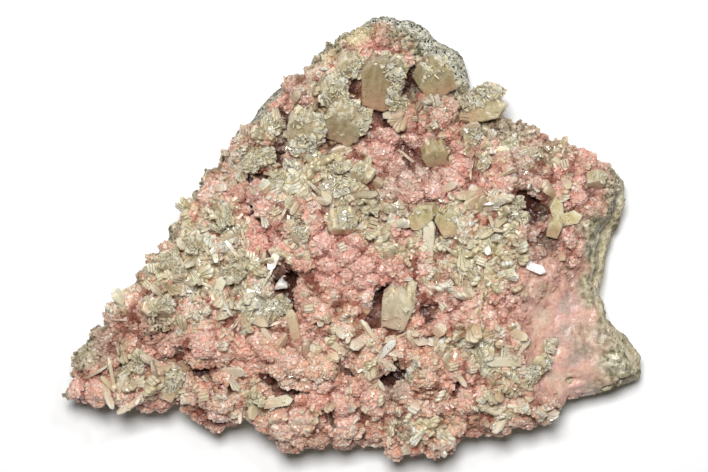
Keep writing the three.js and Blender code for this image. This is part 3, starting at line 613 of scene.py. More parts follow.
def scatter_tree():
    tree = bpy.data.node_groups.new("Crystals over a surface", "GeometryNodeTree")
    for name, kind in TREE_INPUTS.items():
        tree.interface.new_socket(name=name, in_out="INPUT", socket_type="NodeSocket" + kind)
    tree.interface.new_socket(name="Crystals", in_out="OUTPUT", socket_type="NodeSocketGeometry")
    kit = Nodes(tree)
    given = kit.add("NodeGroupInput").outputs

    def scaled(vector, factor):
        return kit.add("ShaderNodeVectorMath", operation="SCALE", Vector=vector, Scale=factor)

    def drawn(kind, least, most, seed):
        return kit.add("FunctionNodeRandomValue", data_type=kind, Min=least, Max=most, Seed=seed)

    cover = kit.add("GeometryNodeInputNamedAttribute", data_type="FLOAT", Name=given["Cover"])
    points = kit.add(
        "GeometryNodeDistributePointsOnFaces", distribute_method="POISSON", Mesh=given["Surface"],
        Distance_Min=given["Spacing"], Density_Max=given["Density"], Density_Factor=cover,
        Seed=given["Seed"],
    )
    lift = scaled(points.outputs["Normal"], given["Lift"])
    raised = kit.add("GeometryNodeSetPosition", Geometry=points, Offset=lift)

    lean = kit.times(given["Tilt"], -1)
    least = kit.add("ShaderNodeCombineXYZ", X=lean, Y=lean, Z=-math.pi)
    most = kit.add("ShaderNodeCombineXYZ", X=given["Tilt"], Y=given["Tilt"], Z=math.pi)
    turned = kit.add(
        "FunctionNodeRotateRotation", rotation_space="LOCAL", Rotation=points.outputs["Rotation"],
        Rotate_By=drawn("FLOAT_VECTOR", least, most, given["Seed"]),
    )
    length = drawn("FLOAT", given["Smallest"], given["Largest"], given["Seed"])
    size = scaled(drawn("FLOAT_VECTOR", SLIMMEST, STOUTEST, BUILD_SEED), length)

    form = kit.add("GeometryNodeObjectInfo", Object=given["Form"])
    crystals = kit.add(
        "GeometryNodeInstanceOnPoints", Points=raised, Instance=form.outputs["Geometry"],
        Rotation=turned, Scale=size,
    )
    toned = kit.add(
        "GeometryNodeStoreNamedAttribute", data_type="FLOAT", domain="INSTANCE", Name="tone",
        Geometry=crystals, Value=drawn("FLOAT", 0.0, 1.0, TONE_SEED),
    )
    real = kit.add("GeometryNodeRealizeInstances", Geometry=toned)
    finished = kit.add("GeometryNodeSetMaterial", Geometry=real, Material=given["Finish"])
    kit.add("NodeGroupOutput", Crystals=finished)
    return tree


CRYSTALS = scatter_tree()
print("nodes in the scattering tree:", len(CRYSTALS.nodes))


# %% Run the tree on a surface
def grow(name, surface, form, cover, spacing, density, smallest, largest, tilt, lift, seed, finish):
    """One plain piece of crystals. Lengths in mm, density to a square mm, tilt in degrees."""
    piece = new_object(name, surface.data.copy())
    modifier = piece.modifiers.new("crystals", "NODES")
    modifier.node_group = CRYSTALS
    values = {
        "Form": form, "Cover": cover, "Spacing": spacing * MM, "Density": density / MM**2,
        "Smallest": smallest * MM, "Largest": largest * MM, "Tilt": math.radians(tilt),
        "Lift": lift * MM, "Seed": seed, "Finish": finish,
    }
    for item in CRYSTALS.interface.items_tree:
        if item.name in values:
            modifier[item.identifier] = values[item.name]
    print(f"{name}: {triangles_of(settle(piece))} triangles")
    return piece


# %% [markdown]
# ## The forms that repeat
# A druse crystal is a blunt little block. A stilbite crystal is a flat tablet with rounded
# shoulders. Tablets that share a root fan out into a sheaf, and thin plates that lie on each other
# open like the pages of a book. Each form is a stack of rings with few corners, because it is used
# many thousand times. Each stands on its root, along Z, and is about one unit long. It knows how
# near each corner is to the tip, because the materials paint the tip paler and the root deeper in
# colour, a painted highlight that stands for light passing through a translucent crystal.


# %% Stacks of rings
def leaning(fan=0.0, bow=0.0, shift=0.0, stretch=1.0):
    """The place of one tablet in a bundle: spread sideways, bowed forward, shifted, stretched."""
    turn = Matrix.Rotation(fan, 4, "Y") @ Matrix.Rotation(bow, 4, "X")
    return turn @ Matrix.Translation((0, shift, 0)) @ Matrix.Scale(stretch, 4, (0, 0, 1))


def stacked_form(name, sides, width, thickness, rings, places=(leaning(),)):
    """A stack of rings, each a height and a share of the full width, or several from one root."""
    corners, faces = [], []
    for place in places:
        bottom = len(corners)
        top = bottom + (len(rings) - 1) * sides
        for height, share in rings:
            for n in range(sides):
                angle = math.tau * (n + 0.5) / sides
                x = width / 2 * share * math.cos(angle)
                y = thickness / 2 * share * math.sin(angle)
                corners.append(place @ Vector((x, y, height)))
        faces += [tuple(range(end, end + sides)) for end in (bottom, top)]
        for ring in range(bottom, top, sides):
            for n in range(sides):
                near, far = ring + n, ring + (n + 1) % sides
                faces.append((near, far, far + sides, near + sides))
    mesh = bpy.data.meshes.new(name)
    mesh.from_pydata(corners, [], faces)
    with opened(mesh) as solid:
        bmesh.ops.recalc_face_normals(solid, faces=solid.faces)
    heights = [corner.z for corner in corners]
    low, high = min(heights), max(heights)
    # painted highlight: the materials paint each form paler towards its tip
    write_attributes(mesh, tip=[(height - low) / (high - low) for height in heights])
    return new_object(name, mesh)


# %% Forms
GRAIN_RINGS = ((-0.4, 1.0), (0.55, 0.62))
GRIT_RINGS = ((-0.4, 0.95), (0.4, 0.7))
TABLET_RINGS = ((-0.3, 0.85), (0.5, 1.0), (0.74, 0.82), (0.8, 0.3))
LATH_RINGS = ((-0.3, 0.9), (0.6, 1.0), (0.8, 0.5))
PLATE_RINGS = ((-0.35, 0.8), (0.38, 1.0), (0.52, 0.72))
SHEAF_PLACES = (leaning(-0.22, 0.1, -0.05, 0.86), leaning(), leaning(0.2, -0.1, 0.06, 0.92))
BOOK_PLACES = (
    leaning(0.07, 0.12, -0.17, 0.82), leaning(-0.05, 0, 0, 1.0), leaning(0.1, -0.14, 0.18, 0.88),
)
block = stacked_form("block", 4, 1.15, 1.05, GRAIN_RINGS)
grit = stacked_form("grit", 3, 1.0, 0.95, GRIT_RINGS)
crumb = stacked_form("crumb", 4, 1.05, 0.5, PLATE_RINGS)
flake = stacked_form("flake", 4, 1.25, 0.3, PLATE_RINGS)
blade = stacked_form("blade", 4, 0.48, 0.2, LATH_RINGS)
sheaf = stacked_form("sheaf", 6, 0.44, 0.24, TABLET_RINGS, SHEAF_PLACES)
book = stacked_form("book", 4, 1.0, 0.3, PLATE_RINGS, BOOK_PLACES)
forms = [block, grit, crumb, flake, blade, sheaf, book]
print("triangles of the forms:", [(form.name, triangles_of(form.data)) for form in forms])

# %% [markdown]
# ## Finishes
# Every finish here is mineral, so they share effects: a slow mottling, peppery specks of dark
# oxide, and fine growth lines. Each effect is a node group with named inputs that puts out a mask
# or a height. The shader itself stays in the material.

# %% Shared effects
SPECK_REACH = 0.42  # how far a speck reaches from the middle of its cell, in cells


def effect_group(name, output, **inputs):
    """A new shader group that reads a place and some numbers: its nodes and its inputs."""
    tree = bpy.data.node_groups.new(name, "ShaderNodeTree")
    tree.interface.new_socket(name="Place", in_out="INPUT", socket_type="NodeSocketVector")
    for label, default in inputs.items():
        socket = tree.interface.new_socket(name=label, in_out="INPUT", socket_type="NodeSocketFloat")
        socket.default_value = default
    tree.interface.new_socket(name=output, in_out="OUTPUT", socket_type="NodeSocketFloat")
    kit = Nodes(tree)
    return kit, kit.add("NodeGroupInput").outputs


def mottle_group():
    kit, given = effect_group("Mottling", "Mask", Scale=300, Contrast=1.6)
    cloud = kit.add("ShaderNodeTexNoise", Vector=given["Place"], Scale=given["Scale"], Detail=3.0)
    strong = kit.times(kit.maths("SUBTRACT", cloud, 0.5), given["Contrast"])
    kit.add("NodeGroupOutput", Mask=kit.maths("ADD", strong, 0.5, clamp=True))
    return kit.tree


def pepper_group():
    kit, given = effect_group("Pepper specks", "Mask", Scale=900, Amount=0.3)
    cells = kit.add("ShaderNodeTexVoronoi", Vector=given["Place"], Scale=given["Scale"])
    drawn = kit.add("ShaderNodeSeparateColor", Color=cells.outputs["Color"])
    chosen = kit.maths("LESS_THAN", drawn, given["Amount"])
    near = kit.maths("LESS_THAN", cells.outputs["Distance"], SPECK_REACH)
    kit.add("NodeGroupOutput", Mask=kit.times(chosen, near))
    return kit.tree


def growth_group():
    kit, given = effect_group("Growth lines", "Height", Scale=2500, Stretch=0.12)
    stretch = kit.add("ShaderNodeCombineXYZ", X=1.0, Y=1.0, Z=given["Stretch"])
    drawn_out = kit.add("ShaderNodeVectorMath", operation="MULTIPLY")
    kit.put(drawn_out.inputs[0], given["Place"])
    kit.put(drawn_out.inputs[1], stretch)
    lines = kit.add("ShaderNodeTexNoise", Vector=drawn_out, Scale=given["Scale"], Detail=2.0)
    kit.add("NodeGroupOutput", Height=lines)
    return kit.tree


MOTTLE = mottle_group()
PEPPER = pepper_group()
GROWTH = growth_group()
print("effects:", [group.name for group in (MOTTLE, PEPPER, GROWTH)])


# %% [markdown]
# A material starts from the shader that it comes with and from Object coordinates. Its colour is
# then mixed like paint: a base that runs along a scale, and stains over it, each where a mask or
# one of the mesh's attributes says.


# %% A finish
def paint(red, green, blue):
    """A colour given as it looks on a screen, from 0 to 255, as the shader's linear values."""
    values = [v / 255 for v in (red, green, blue)]
    return tuple(v / 12.92 if v <= 0.04045 else ((v + 0.055) / 1.055) ** 2.4 for v in values) + (1,)


class Finish(Nodes):
    """A new material, its shader and the ways to mix its colour."""

    def __init__(self, name):
        self.material = bpy.data.materials.new(name)
        self.material.use_nodes = True
        super().__init__(self.material.node_tree)
        self.shader = self.tree.nodes["Principled BSDF"]
        self.place = self.add("ShaderNodeTexCoord").outputs["Object"]

    def effect(self, group, **values):
        return self.add("ShaderNodeGroup", node_tree=group, Place=self.place, **values)

    def mottle(self, scale, contrast):
        """Cloudy patches: how many to the metre, and how sharply they end."""
        return self.effect(MOTTLE, Scale=scale, Contrast=contrast)

    def pepper(self, scale, amount):
        """Specks: how many cells to the metre, and the share of the cells that have one."""
        return self.effect(PEPPER, Scale=scale, Amount=amount)

    def mask(self, source):
        """An attribute of the mesh, by its name, or a mask as it is."""
        if isinstance(source, str):
            return self.add("ShaderNodeAttribute", attribute_name=source).outputs["Fac"]
        return source

    def sum_of(self, *shares):
        """The sum of masks, each times a weight of its own."""
        total = 0.0
        for source, weight in shares:
            total = self.maths("MULTIPLY_ADD", self.mask(source), weight, total)
        return total

    def blend(self, base, colour, factor):
        made = self.add("ShaderNodeMix", data_type="RGBA", clamp_factor=True)
        in_use = [socket for socket in made.inputs if socket.enabled]
        for socket, value in zip(in_use, (factor, base, colour)):
            self.put(socket, value)
        return made

    def stained(self, colour, *stains):
        """A colour with stains over it in turn: where each lies, its colour and its strength."""
        for where, rgb, strength in stains:
            colour = self.blend(colour, paint(*rgb), self.times(self.mask(where), strength))
        return colour

    def ramp(self, factor, *stops):
        """Colours along a scale: each stop is a place on it, then red, green and blue."""
        made = self.add("ShaderNodeValToRGB", Fac=factor)
        elements = made.color_ramp.elements
        while len(elements) < len(stops):
            elements.new(0.5)
        for element, (place, *rgb) in zip(elements, stops):
            element.position = place
            element.color = paint(*rgb)
        return made

    def bump(self, height, distance, strength):
        """Relief too fine for the mesh, distance metres deep."""
        made = self.add("ShaderNodeBump", Height=height, Distance=distance, Strength=strength)
        self.feed(self.shader, Normal=made)


# %% [markdown]
# The druse is translucent, so its light is soft and its shadows are warm. Subsurface scattering
# gives that. Its colour runs from salmon to almost white from grain to grain, with peach heads in
# the south, cream where stilbite is thick, and a smooth, frosted, cloudy surface on the worn
# corner. Painted on it are a dark red painted shade in the hollows and clefts, and a painted
# highlight that makes the tips of grains and the crests of heads paler.


# %% Pink druse
def druse_finish():
    kit = Finish("pink druse")
    slow = kit.mottle(230.0, 2.2)
    # Painted light and shade: tips of grains and crests of heads are painted paler, and the ground
    # between the grains, which has no tip value, darker.
    shade = kit.sum_of(
        ("tone", 0.24), (slow, 0.16), ("tip", 0.3), ("crest", 0.26), ("head_tone", 0.22),
    )
    salmon = kit.ramp(
        shade, (0.0, 172, 78, 62), (0.3, 214, 134, 115), (0.55, 239, 182, 163),
        (0.8, 251, 215, 199), (1.0, 255, 242, 234),
    )
    peach = kit.ramp(
        shade, (0.0, 164, 82, 56), (0.3, 210, 144, 110), (0.55, 238, 192, 160),
        (0.8, 250, 220, 194), (1.0, 255, 242, 226),
    )
    beige = kit.ramp(
        shade, (0.0, 146, 114, 80), (0.3, 188, 166, 130), (0.6, 217, 201, 167),
        (1.0, 245, 237, 215),
    )
    colour = kit.blend(salmon, peach, kit.times(kit.mask("peach"), 0.85))
    wander = kit.mottle(360.0, 3.6)
    creamy = kit.maths("ADD", kit.mask("carpet"), 0.16)
    colour = kit.blend(colour, beige, kit.maths("MULTIPLY", creamy, wander, clamp=True))
    vivid = kit.mottle(520.0, 4.5)
    colour = kit.stained(
        colour,
        (vivid, (236, 142, 124), 0.26),
        (kit.maths("SUBTRACT", 1.0, vivid), (250, 228, 204), 0.2),
        ("rosy", (250, 180, 172), 0.3),
        ("grey", (184, 174, 156), 0.6),
        ("yellow", (240, 228, 176), 0.8),
        ("smoky", (142, 104, 78), 0.42),
        # painted shade: dark red in the hollows and clefts, darkest in the deep hollows
        ("hollow", (122, 54, 34), 0.85),
        ("deep", (66, 34, 26), 0.88),
    )

    wide = kit.mottle(170.0, 3.2)
    cloud = kit.ramp(
        kit.sum_of((wide, 0.6), (slow, 0.4)), (0.15, 190, 172, 156), (0.35, 226, 186, 172),
        (0.5, 240, 188, 170), (0.65, 247, 202, 174), (0.85, 245, 223, 198),
    )
    frost = kit.add("ShaderNodeTexNoise", Vector=kit.place, Scale=1300.0, Detail=3.0)
    frosted = kit.ramp(frost, (0.3, 160, 122, 106), (0.7, 255, 244, 238))
    smoothed = kit.blend(cloud, frosted, 0.3)
    colour = kit.blend(colour, smoothed, kit.times(kit.mask("worn"), 0.85))
    stone = kit.ramp(
        kit.mottle(700.0, 2.8), (0.1, 104, 100, 78), (0.5, 166, 158, 128),
        (0.9, 216, 208, 182),
    )
    colour = kit.blend(colour, stone, kit.mask("bare"))

    unworn = kit.maths("SUBTRACT", 1.0, kit.times(kit.mask("worn"), 0.7), clamp=True)
    dirty = kit.times(kit.mottle(330.0, 6.0), unworn)
    specks = kit.times(kit.pepper(2000.0, 0.2), dirty)
    rocky = kit.times(kit.times(kit.mask("bare"), unworn), 0.8)
    grime = kit.maths("ADD", kit.mask("soot"), rocky, clamp=True)
    soot = kit.times(kit.pepper(1150.0, 0.55), grime)
    colour = kit.stained(colour, (specks, (108, 66, 46), 0.75), (soot, (44, 44, 40), 1.0))
    kit.feed(
        kit.shader, Base_Color=colour, Roughness=kit.maths("MULTIPLY_ADD", slow, 0.25, 0.16),
        Subsurface_Weight=0.6, Subsurface_Scale=0.001, Subsurface_Radius=(1.0, 0.84, 0.78), IOR=1.5,
    )
    kit.bump(kit.mottle(1800.0, 1.0), 0.00025, 0.6)
    return kit.material


# %% [markdown]
# Stilbite is pearly: its broad faces shine softly, its body is milky, and its colour runs from
# nearly white through cream to olive and honey. A tint attribute chooses the place on that scale.
# Near the root a painted glow of the pink crust stands for the crust seen through the crystal. The
# large crystals are clearer, so light goes deeper into them and clouds show inside. Their edges and
# tips are painted paler, a painted highlight, and the gaps in the overgrowth on their crusted sides
# get painted shade. Plain transmission would turn them dark where they overlap, so depth of
# scattering does this work instead.


# %% Stilbite
def stilbite_finish(name, depth, clouds, edge):
    """depth: how far light goes in, in metres. clouds: how strong. edge: how much paler the tips and
    edges are painted, as painted highlight.
    """
    kit = Finish(name)
    slow = kit.mottle(260.0, 2.0)
    cloud = kit.maths("SUBTRACT", kit.mottle(620.0, 2.6), 0.5)
    # painted highlight: tips and edges are painted paler
    shade = kit.sum_of(
        ("tone", 0.28), (slow, 0.2), ("tip", edge), ("head_tone", 0.18), (cloud, clouds),
    )
    cream = kit.ramp(
        shade, (0.0, 140, 118, 80), (0.25, 186, 169, 128), (0.5, 219, 205, 168),
        (0.75, 239, 229, 200), (1.0, 254, 250, 236),
    )
    honey = kit.ramp(shade, (0.0, 134, 114, 72), (0.5, 212, 199, 154), (1.0, 247, 242, 216))
    tint = kit.mask("tint")
    deeper = kit.times(kit.maths("SUBTRACT", tint, 0.6, clamp=True), 2.5)
    paler = kit.maths("SUBTRACT", 0.5, tint, clamp=True)
    # painted see-through light: near a small crystal's foot the pink crust glows through
    crust_glow_at_foot = kit.times(kit.maths("SUBTRACT", 1.0, kit.mask("tip")), kit.mask("blush"))
    colour = kit.stained(
        kit.blend(cream, honey, deeper),
        (paler, (253, 251, 244), 2.0),
        ("blush", (238, 204, 180), 0.32),
        (crust_glow_at_foot, (214, 150, 128), 0.6),
        ("smoky", (140, 120, 86), 0.5),
        # painted see-through light: the pink crust glowing through near a large crystal's root
        ("root", (206, 152, 130), 0.48),
        # painted shade in the gaps of the overgrowth on crusted sides
        ("crusted", (98, 84, 58), 0.6),
        ("grey", (172, 164, 142), 0.3),
        # painted shade in the hollows
        ("hollow", (132, 84, 54), 0.62),
    )
    dirty = kit.mottle(330.0, 7.0)
    specks = kit.times(kit.pepper(2300.0, 0.2), dirty)
    soot = kit.times(kit.pepper(1150.0, 0.6), kit.mask("soot"))
    colour = kit.stained(colour, (specks, (98, 84, 60), 0.6), (soot, (52, 48, 40), 1.0))
    kit.feed(
        kit.shader, Base_Color=colour, Roughness=kit.maths("MULTIPLY_ADD", slow, 0.25, 0.12),
        Subsurface_Weight=0.85, Subsurface_Scale=depth, Subsurface_Radius=(1.0, 0.92, 0.8), IOR=1.5,
        Coat_Weight=0.4, Coat_Roughness=0.05,
    )
    kit.bump(kit.effect(GROWTH, Scale=2200.0, Stretch=0.3), 0.00018, 0.6)
    return kit.material


# %% [markdown]
# The rock is a weathered lava: grey-green and fine-grained, with rusty stains, black specks and
# pale, chalky ones. It is darker at its north end. It is rough all over, and nothing in it shines.


# %% Volcanic rock
def rock_finish():
    kit = Finish("volcanic rock")
    slow = kit.mottle(120.0, 2.0)
    fine = kit.mottle(900.0, 2.4)
    finer = kit.mottle(2300.0, 2.4)
    colour = kit.ramp(
        kit.sum_of((slow, 0.45), (fine, 0.55)), (0.1, 136, 126, 96), (0.4, 194, 182, 148),
        (0.65, 220, 210, 182), (0.9, 240, 235, 216),
    )
    basalt = kit.ramp(
        kit.sum_of((fine, 0.5), (finer, 0.5)), (0.15, 92, 92, 80), (0.45, 156, 153, 134),
        (0.8, 230, 227, 210),
    )
    rust = kit.mottle(90.0, 3.0)
    colour = kit.stained(colour, (rust, (156, 134, 98), 0.4))
    colour = kit.blend(colour, basalt, kit.mask("dusky"))
    patchy = kit.mottle(300.0, 4.0)
    dark = kit.times(kit.pepper(2400.0, 0.35), patchy)
    black = kit.times(kit.pepper(1500.0, 0.3), kit.mask("dusky"))
    chalk = kit.pepper(1900.0, 0.16)
    colour = kit.stained(
        colour, (dark, (56, 56, 46), 0.8), (black, (40, 42, 38), 1.0), (chalk, (232, 230, 220), 0.7),
    )
    kit.feed(kit.shader, Base_Color=colour, Roughness=0.88)
    kit.bump(fine, 0.0004, 0.9)
    return kit.material


DRUSE = druse_finish()
STILBITE = stilbite_finish("pearly stilbite", depth=0.001, clouds=0.0, edge=0.38)
CLEAR = stilbite_finish("clear stilbite", depth=0.002, clouds=0.3, edge=0.5)
ROCK = rock_finish()
print("finishes:", [material.name for material in (DRUSE, STILBITE, CLEAR, ROCK)])

# %% [markdown]
# ## The druse
# Two sizes of block cover the ground, coarse ones first and fine ones between them, each pointing
# anywhere, because a sugary druse has no common direction.


# %% Finish the ground and grow the grains
def dress(piece, finish, node):
    """Gives a piece its finish. It stands for a CAD node from now on."""
    piece.data.materials.clear()
    piece.data.materials.append(finish)
    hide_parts(node)
    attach(piece, "root")


ground.data.shade_smooth()
dress(ground, DRUSE, "pink_crust")

# Name, surface, form, cover, spacing, most to a square mm, least and most length, tilt, lift, seed.
for name, *habit in (
    ("pink_grains_coarse", ground, block, "grain_cover", 0.55, 2.85, 0.5, 1.5, 110, 0.1, 3),
    ("pink_grains_fine", ground, grit, "grain_cover", 0.4, 2.8, 0.4, 0.95, 110, 0.12, 4),
):
    grains = grow(name, *habit, DRUSE)
    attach(grains, "root")

# %% [markdown]
# ## The stilbite carpet
# Small stilbite stands thick on the patches where it took over, and thin elsewhere. Stubby crumbs
# and books of plates fill the patches, sheaves stand on the tops of the heads, and long blades lie
# across them. They lean away from the ground's own direction, so on a rounded head they fan out.
# The blades stand free of the crust, so they get a paler tint and less of the painted shade of the
# hollows.


# %% Grow crumbs, books, sheaves and blades
def grow_stilbite(name, *habit):
    piece = grow(name, *habit, STILBITE)
    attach(piece, "root")


grow_stilbite("stilbite_crumbs", ground, crumb, "crumb_cover", 0.8, 1.7, 0.9, 2.4, 65, 0.1, 6)
grow_stilbite("stilbite_books", ground, book, "crumb_cover", 1.6, 0.4, 1.6, 3.4, 65, 0.1, 9)
grow_stilbite("stilbite_sheaves", ground, sheaf, "sheaf_cover", 1.9, 0.5, 2.8, 5.4, 45, -0.1, 8)
pale_tint = 0.4 + 0.25 * slow_noise(ground_points, 3, 24)
# the blades get less of the painted hollow shade
write_attributes(ground.data, tint=pale_tint, blush=0.5 * blush, hollow=0.3 * hollow)
grow_stilbite("stilbite_blades", ground, blade, "blade_cover", 1.9, 0.3, 3.0, 7.5, 75, 0.2, 7)
write_attributes(ground.data, hollow=hollow)

# %% [markdown]
# ## The rock
# The matrix shows at the north end, along the east edge and as a thin strip on the west. Broken
# lava has ledges of nearly a centimetre, smaller steps on them, and chips of a millimetre or two.
# Cell noise with one value for each cell makes the ledges and steps. Under the crust the rock is
# kept a little low, so that it doesn't come through.

# %% Break up the rock's surface
ROCK_VOXEL = 0.8
SWELLS = {"size": 6, "height": 0.7}
LEDGES = {"size": 7.5, "height": 1.5}
STEPS = {"size": 3.0, "height": 0.8}
CHIPS = {"size": 1.4, "height": 0.4}
ROCK_SINK = 0.2
UNDER_CRUST = -0.3  # mm, the highest that rock under the crust may stand over its CAD face
DUSKY = (8, 36)  # mm north of the middle between which the rock turns dark
DUSKY_DRIFT = 8
rock = remeshed("matrix_rock", ROCK_VOXEL, "rock_body")
rock_points = points_of(rock.data)
rock_normals = normals_of(rock.data)


def under_the_crust(points):
    """Whether the crust lies over each point."""
    crust, cells = grid_cells(ground_points), grid_cells(points)
    top = empty_grid(crust, cells, fill=-1.0)
    np.maximum.at(top, crust, ground_points[:, 2])
    return top[cells] > points[:, 2]


exposed = smoothstep(rock_points[:, 2], 0.2, 1.2)
broken = (
    SWELLS["height"] * slow_noise(rock_points, SWELLS["size"], 5)
    + LEDGES["height"] * (seed_values(rock_points, LEDGES["size"], 33) - 0.5)
    + STEPS["height"] * (seed_values(rock_points, STEPS["size"], 34) - 0.5)
    + CHIPS["height"] * (domes(rock_points, CHIPS["size"], 7) - 0.6)
)
hidden = under_the_crust(rock_points) & (rock_normals[:, 2] > 0.45)
broken = np.where(hidden, np.minimum(broken, UNDER_CRUST), broken - ROCK_SINK)
move_points(rock.data, rock_points + rock_normals * (exposed * broken)[:, None])
drift = DUSKY_DRIFT * slow_noise(rock_points, 9, 35)
write_attributes(rock.data, dusky=smoothstep(rock_points[:, 1] + drift, *DUSKY))
rock.data.shade_smooth()
dress(rock, ROCK, "matrix_rock")
print("rock:", triangles_of(rock.data), "triangles")

# %% [markdown]
# ## The large crystals
# Each large stilbite keeps its CAD form. Its edges are worn to a narrow bevel, and its faces get
# the steps of the many thin blades that make up one crystal. Those blades all point the same way,
# so the crystal's own length is needed: every side face of a tablet is square to its length, so
# the direction that the faces' normals favour least is the length.

# %% A crystal's length and its edges
EDGE_BULGE = 0.18  # mm that a crystal's edge stands out from its softened shape


def crystal_length(mesh):
    """The direction of a crystal's length, from its faces' normals and areas."""
    spread = np.zeros((3, 3))
    for face in mesh.polygons:
        if face.normal.z > -0.5:
            spread += face.area * np.outer(face.normal, face.normal)
    along = np.linalg.eigh(spread)[1][:, 0]
    return along if along[2] >= 0 else -along


# Painted highlight and shade: the material paints a crystal paler along its outward edges and darker in
# its creases.
def edge_highlight(mesh, rounds):
    """1 along a mesh's outward edges, 0.5 on its flat faces and 0 in its creases."""
    ends = np.empty(len(mesh.edges) * 2, dtype=int)
    mesh.edges.foreach_get("vertices", ends)
    near, far = ends[::2], ends[1::2]
    count = np.bincount(ends, minlength=len(mesh.vertices))[:, None]
    points = points_of(mesh)
    softened = points
    for _ in range(rounds):
        total = np.zeros_like(softened)
        np.add.at(total, near, softened[far])
        np.add.at(total, far, softened[near])
        softened = total / np.maximum(count, 1)
    bulge = ((points - softened) * normals_of(mesh)).sum(axis=1)
    return 0.5 + 0.5 * np.clip(bulge / EDGE_BULGE, -1, 1)


# %% [markdown]
# The crystals differ in tint, in smokiness and in how much younger stilbite has crusted them. A
# few are glassy, with plain faces: those only get a bevel and small faces. The others are corroded,
# so they are remeshed and softened. Some of the biggest are crusted on one half only, and their
# clean half lies in the direction that is given here.

# %% What sets each crystal apart
USUAL_TINT = 0.6
TINTS = {
    "white_lath": 0.0, "white_twin": 0.12, "white_blade": 0.15, "crown": 0.72, "amber": 0.95,
    "east_block": 0.85, "sun": 0.95, "centre_pair": 0.95, "glassy_trio": 1.0, "round": 0.85,
    "heart": 0.42, "knob": 0.7, "gold_block": 0.8, "yellow_block": 0.85, "long_tablet": 0.8,
    "hollow_pair": 0.7, "diagonal_blade": 0.75, "square_sheaf": 0.65, "ridge_block": 0.7,
    "pale_fan": 0.4, "lilac_pair": 0.35, "south_lath": 0.4,
}
USUAL_SMOKE = 0.2
SMOKY = {
    "crown": 1.5, "crown_fan": 0.9, "west_barrel": 0.8, "amber": 0.9, "sun": 0.8, "round": 0.6,
    "east_block": 0.8, "dark_knob": 0.9, "knob": 0.5, "white_lath": 0, "white_twin": 0,
    "heart": 0, "glassy_trio": 0, "olive_bead": 0.6, "green_lath": 0.5,
}
GLASSY = (
    "sun", "centre_pair", "glassy_trio", "amber", "heart", "long_tablet", "slim_blade", "white_lath",
    "white_blade", "south_lath", "green_lath", "west_blade", "south_west_blade", "short_blade",
    "diagonal_blade", "upright_blade", "prism_east", "east_tablet", "tablet_north", "dusky_tablet",
    "lilac_pair", "hollow_pair", "pale_fan", "round",
)
USUAL_OVERGROWN = 0.9
OVERGROWN = {
    "white_lath": 0, "white_twin": 0, "white_blade": 0, "sun": 0.1, "centre_pair": 0.15,
    "glassy_trio": 0, "heart": 0.12, "crown": 1, "amber": 0.5, "round": 0.2, "lilac_pair": 0,
    "south_lath": 0,
}
CLEAN_HALF = {"crown": (-1, -0.2), "amber": (0.5, -1), "sun": (-0.6, -1), "east_block": (0.6, -1)}
CLEAN_EDGE = 1.2  # mm over which a clean half turns into a crusted one
CRUSTED_SIDE = np.array([0.55, 0.25, 0.8])  # the direction that the crusted faces look in
print("glassy crystals:", len(GLASSY))

# %% Glassy and rough bodies
BODY_VOXEL = 0.36
BEVEL = 0.16
BEVEL_ANGLE = 25
LONGEST_EDGE = 1.0


def glassy_body(node, name):
    """A crystal with plain faces: its edges are bevelled and its faces cut up finely."""
    piece = new_object(name, merged_mesh(node))
    angle = math.radians(BEVEL_ANGLE)
    mesh = modified(
        piece, "BEVEL", width=BEVEL * MM, segments=2, limit_method="ANGLE", angle_limit=angle,
    )
    with opened(mesh) as form:
        bmesh.ops.triangulate(form, faces=form.faces)
        for _ in range(3):
            long_edges = [edge for edge in form.edges if edge.calc_length() > LONGEST_EDGE * MM]
            bmesh.ops.subdivide_edges(form, edges=long_edges, cuts=1, use_grid_fill=False)
            bmesh.ops.triangulate(form, faces=form.faces)
    return piece


def rough_body(node, name):
    """A crystal with a corroded, overgrown surface: it is remeshed evenly and softened."""
    piece = remeshed(node, BODY_VOXEL, name)
    modified(piece, "SMOOTH", factor=0.5, iterations=9)
    return piece


# %% Ridges, pits and tints
RIDGES = {"size": 1.0, "height": 0.24}
STRAIGHTNESS = 0.85  # how far the ridges are drawn out along the crystal, 1 without end
WAVES = {"size": 2.8, "height": 0.3}
NODULES = {"size": 1.5, "height": 0.35}
CLEAN_RAGGED = 1.2  # mm that the edge of a clean half wanders
GLASSY_RIDGES = 0.35  # a glassy crystal's ridges, as a share of a rough one's


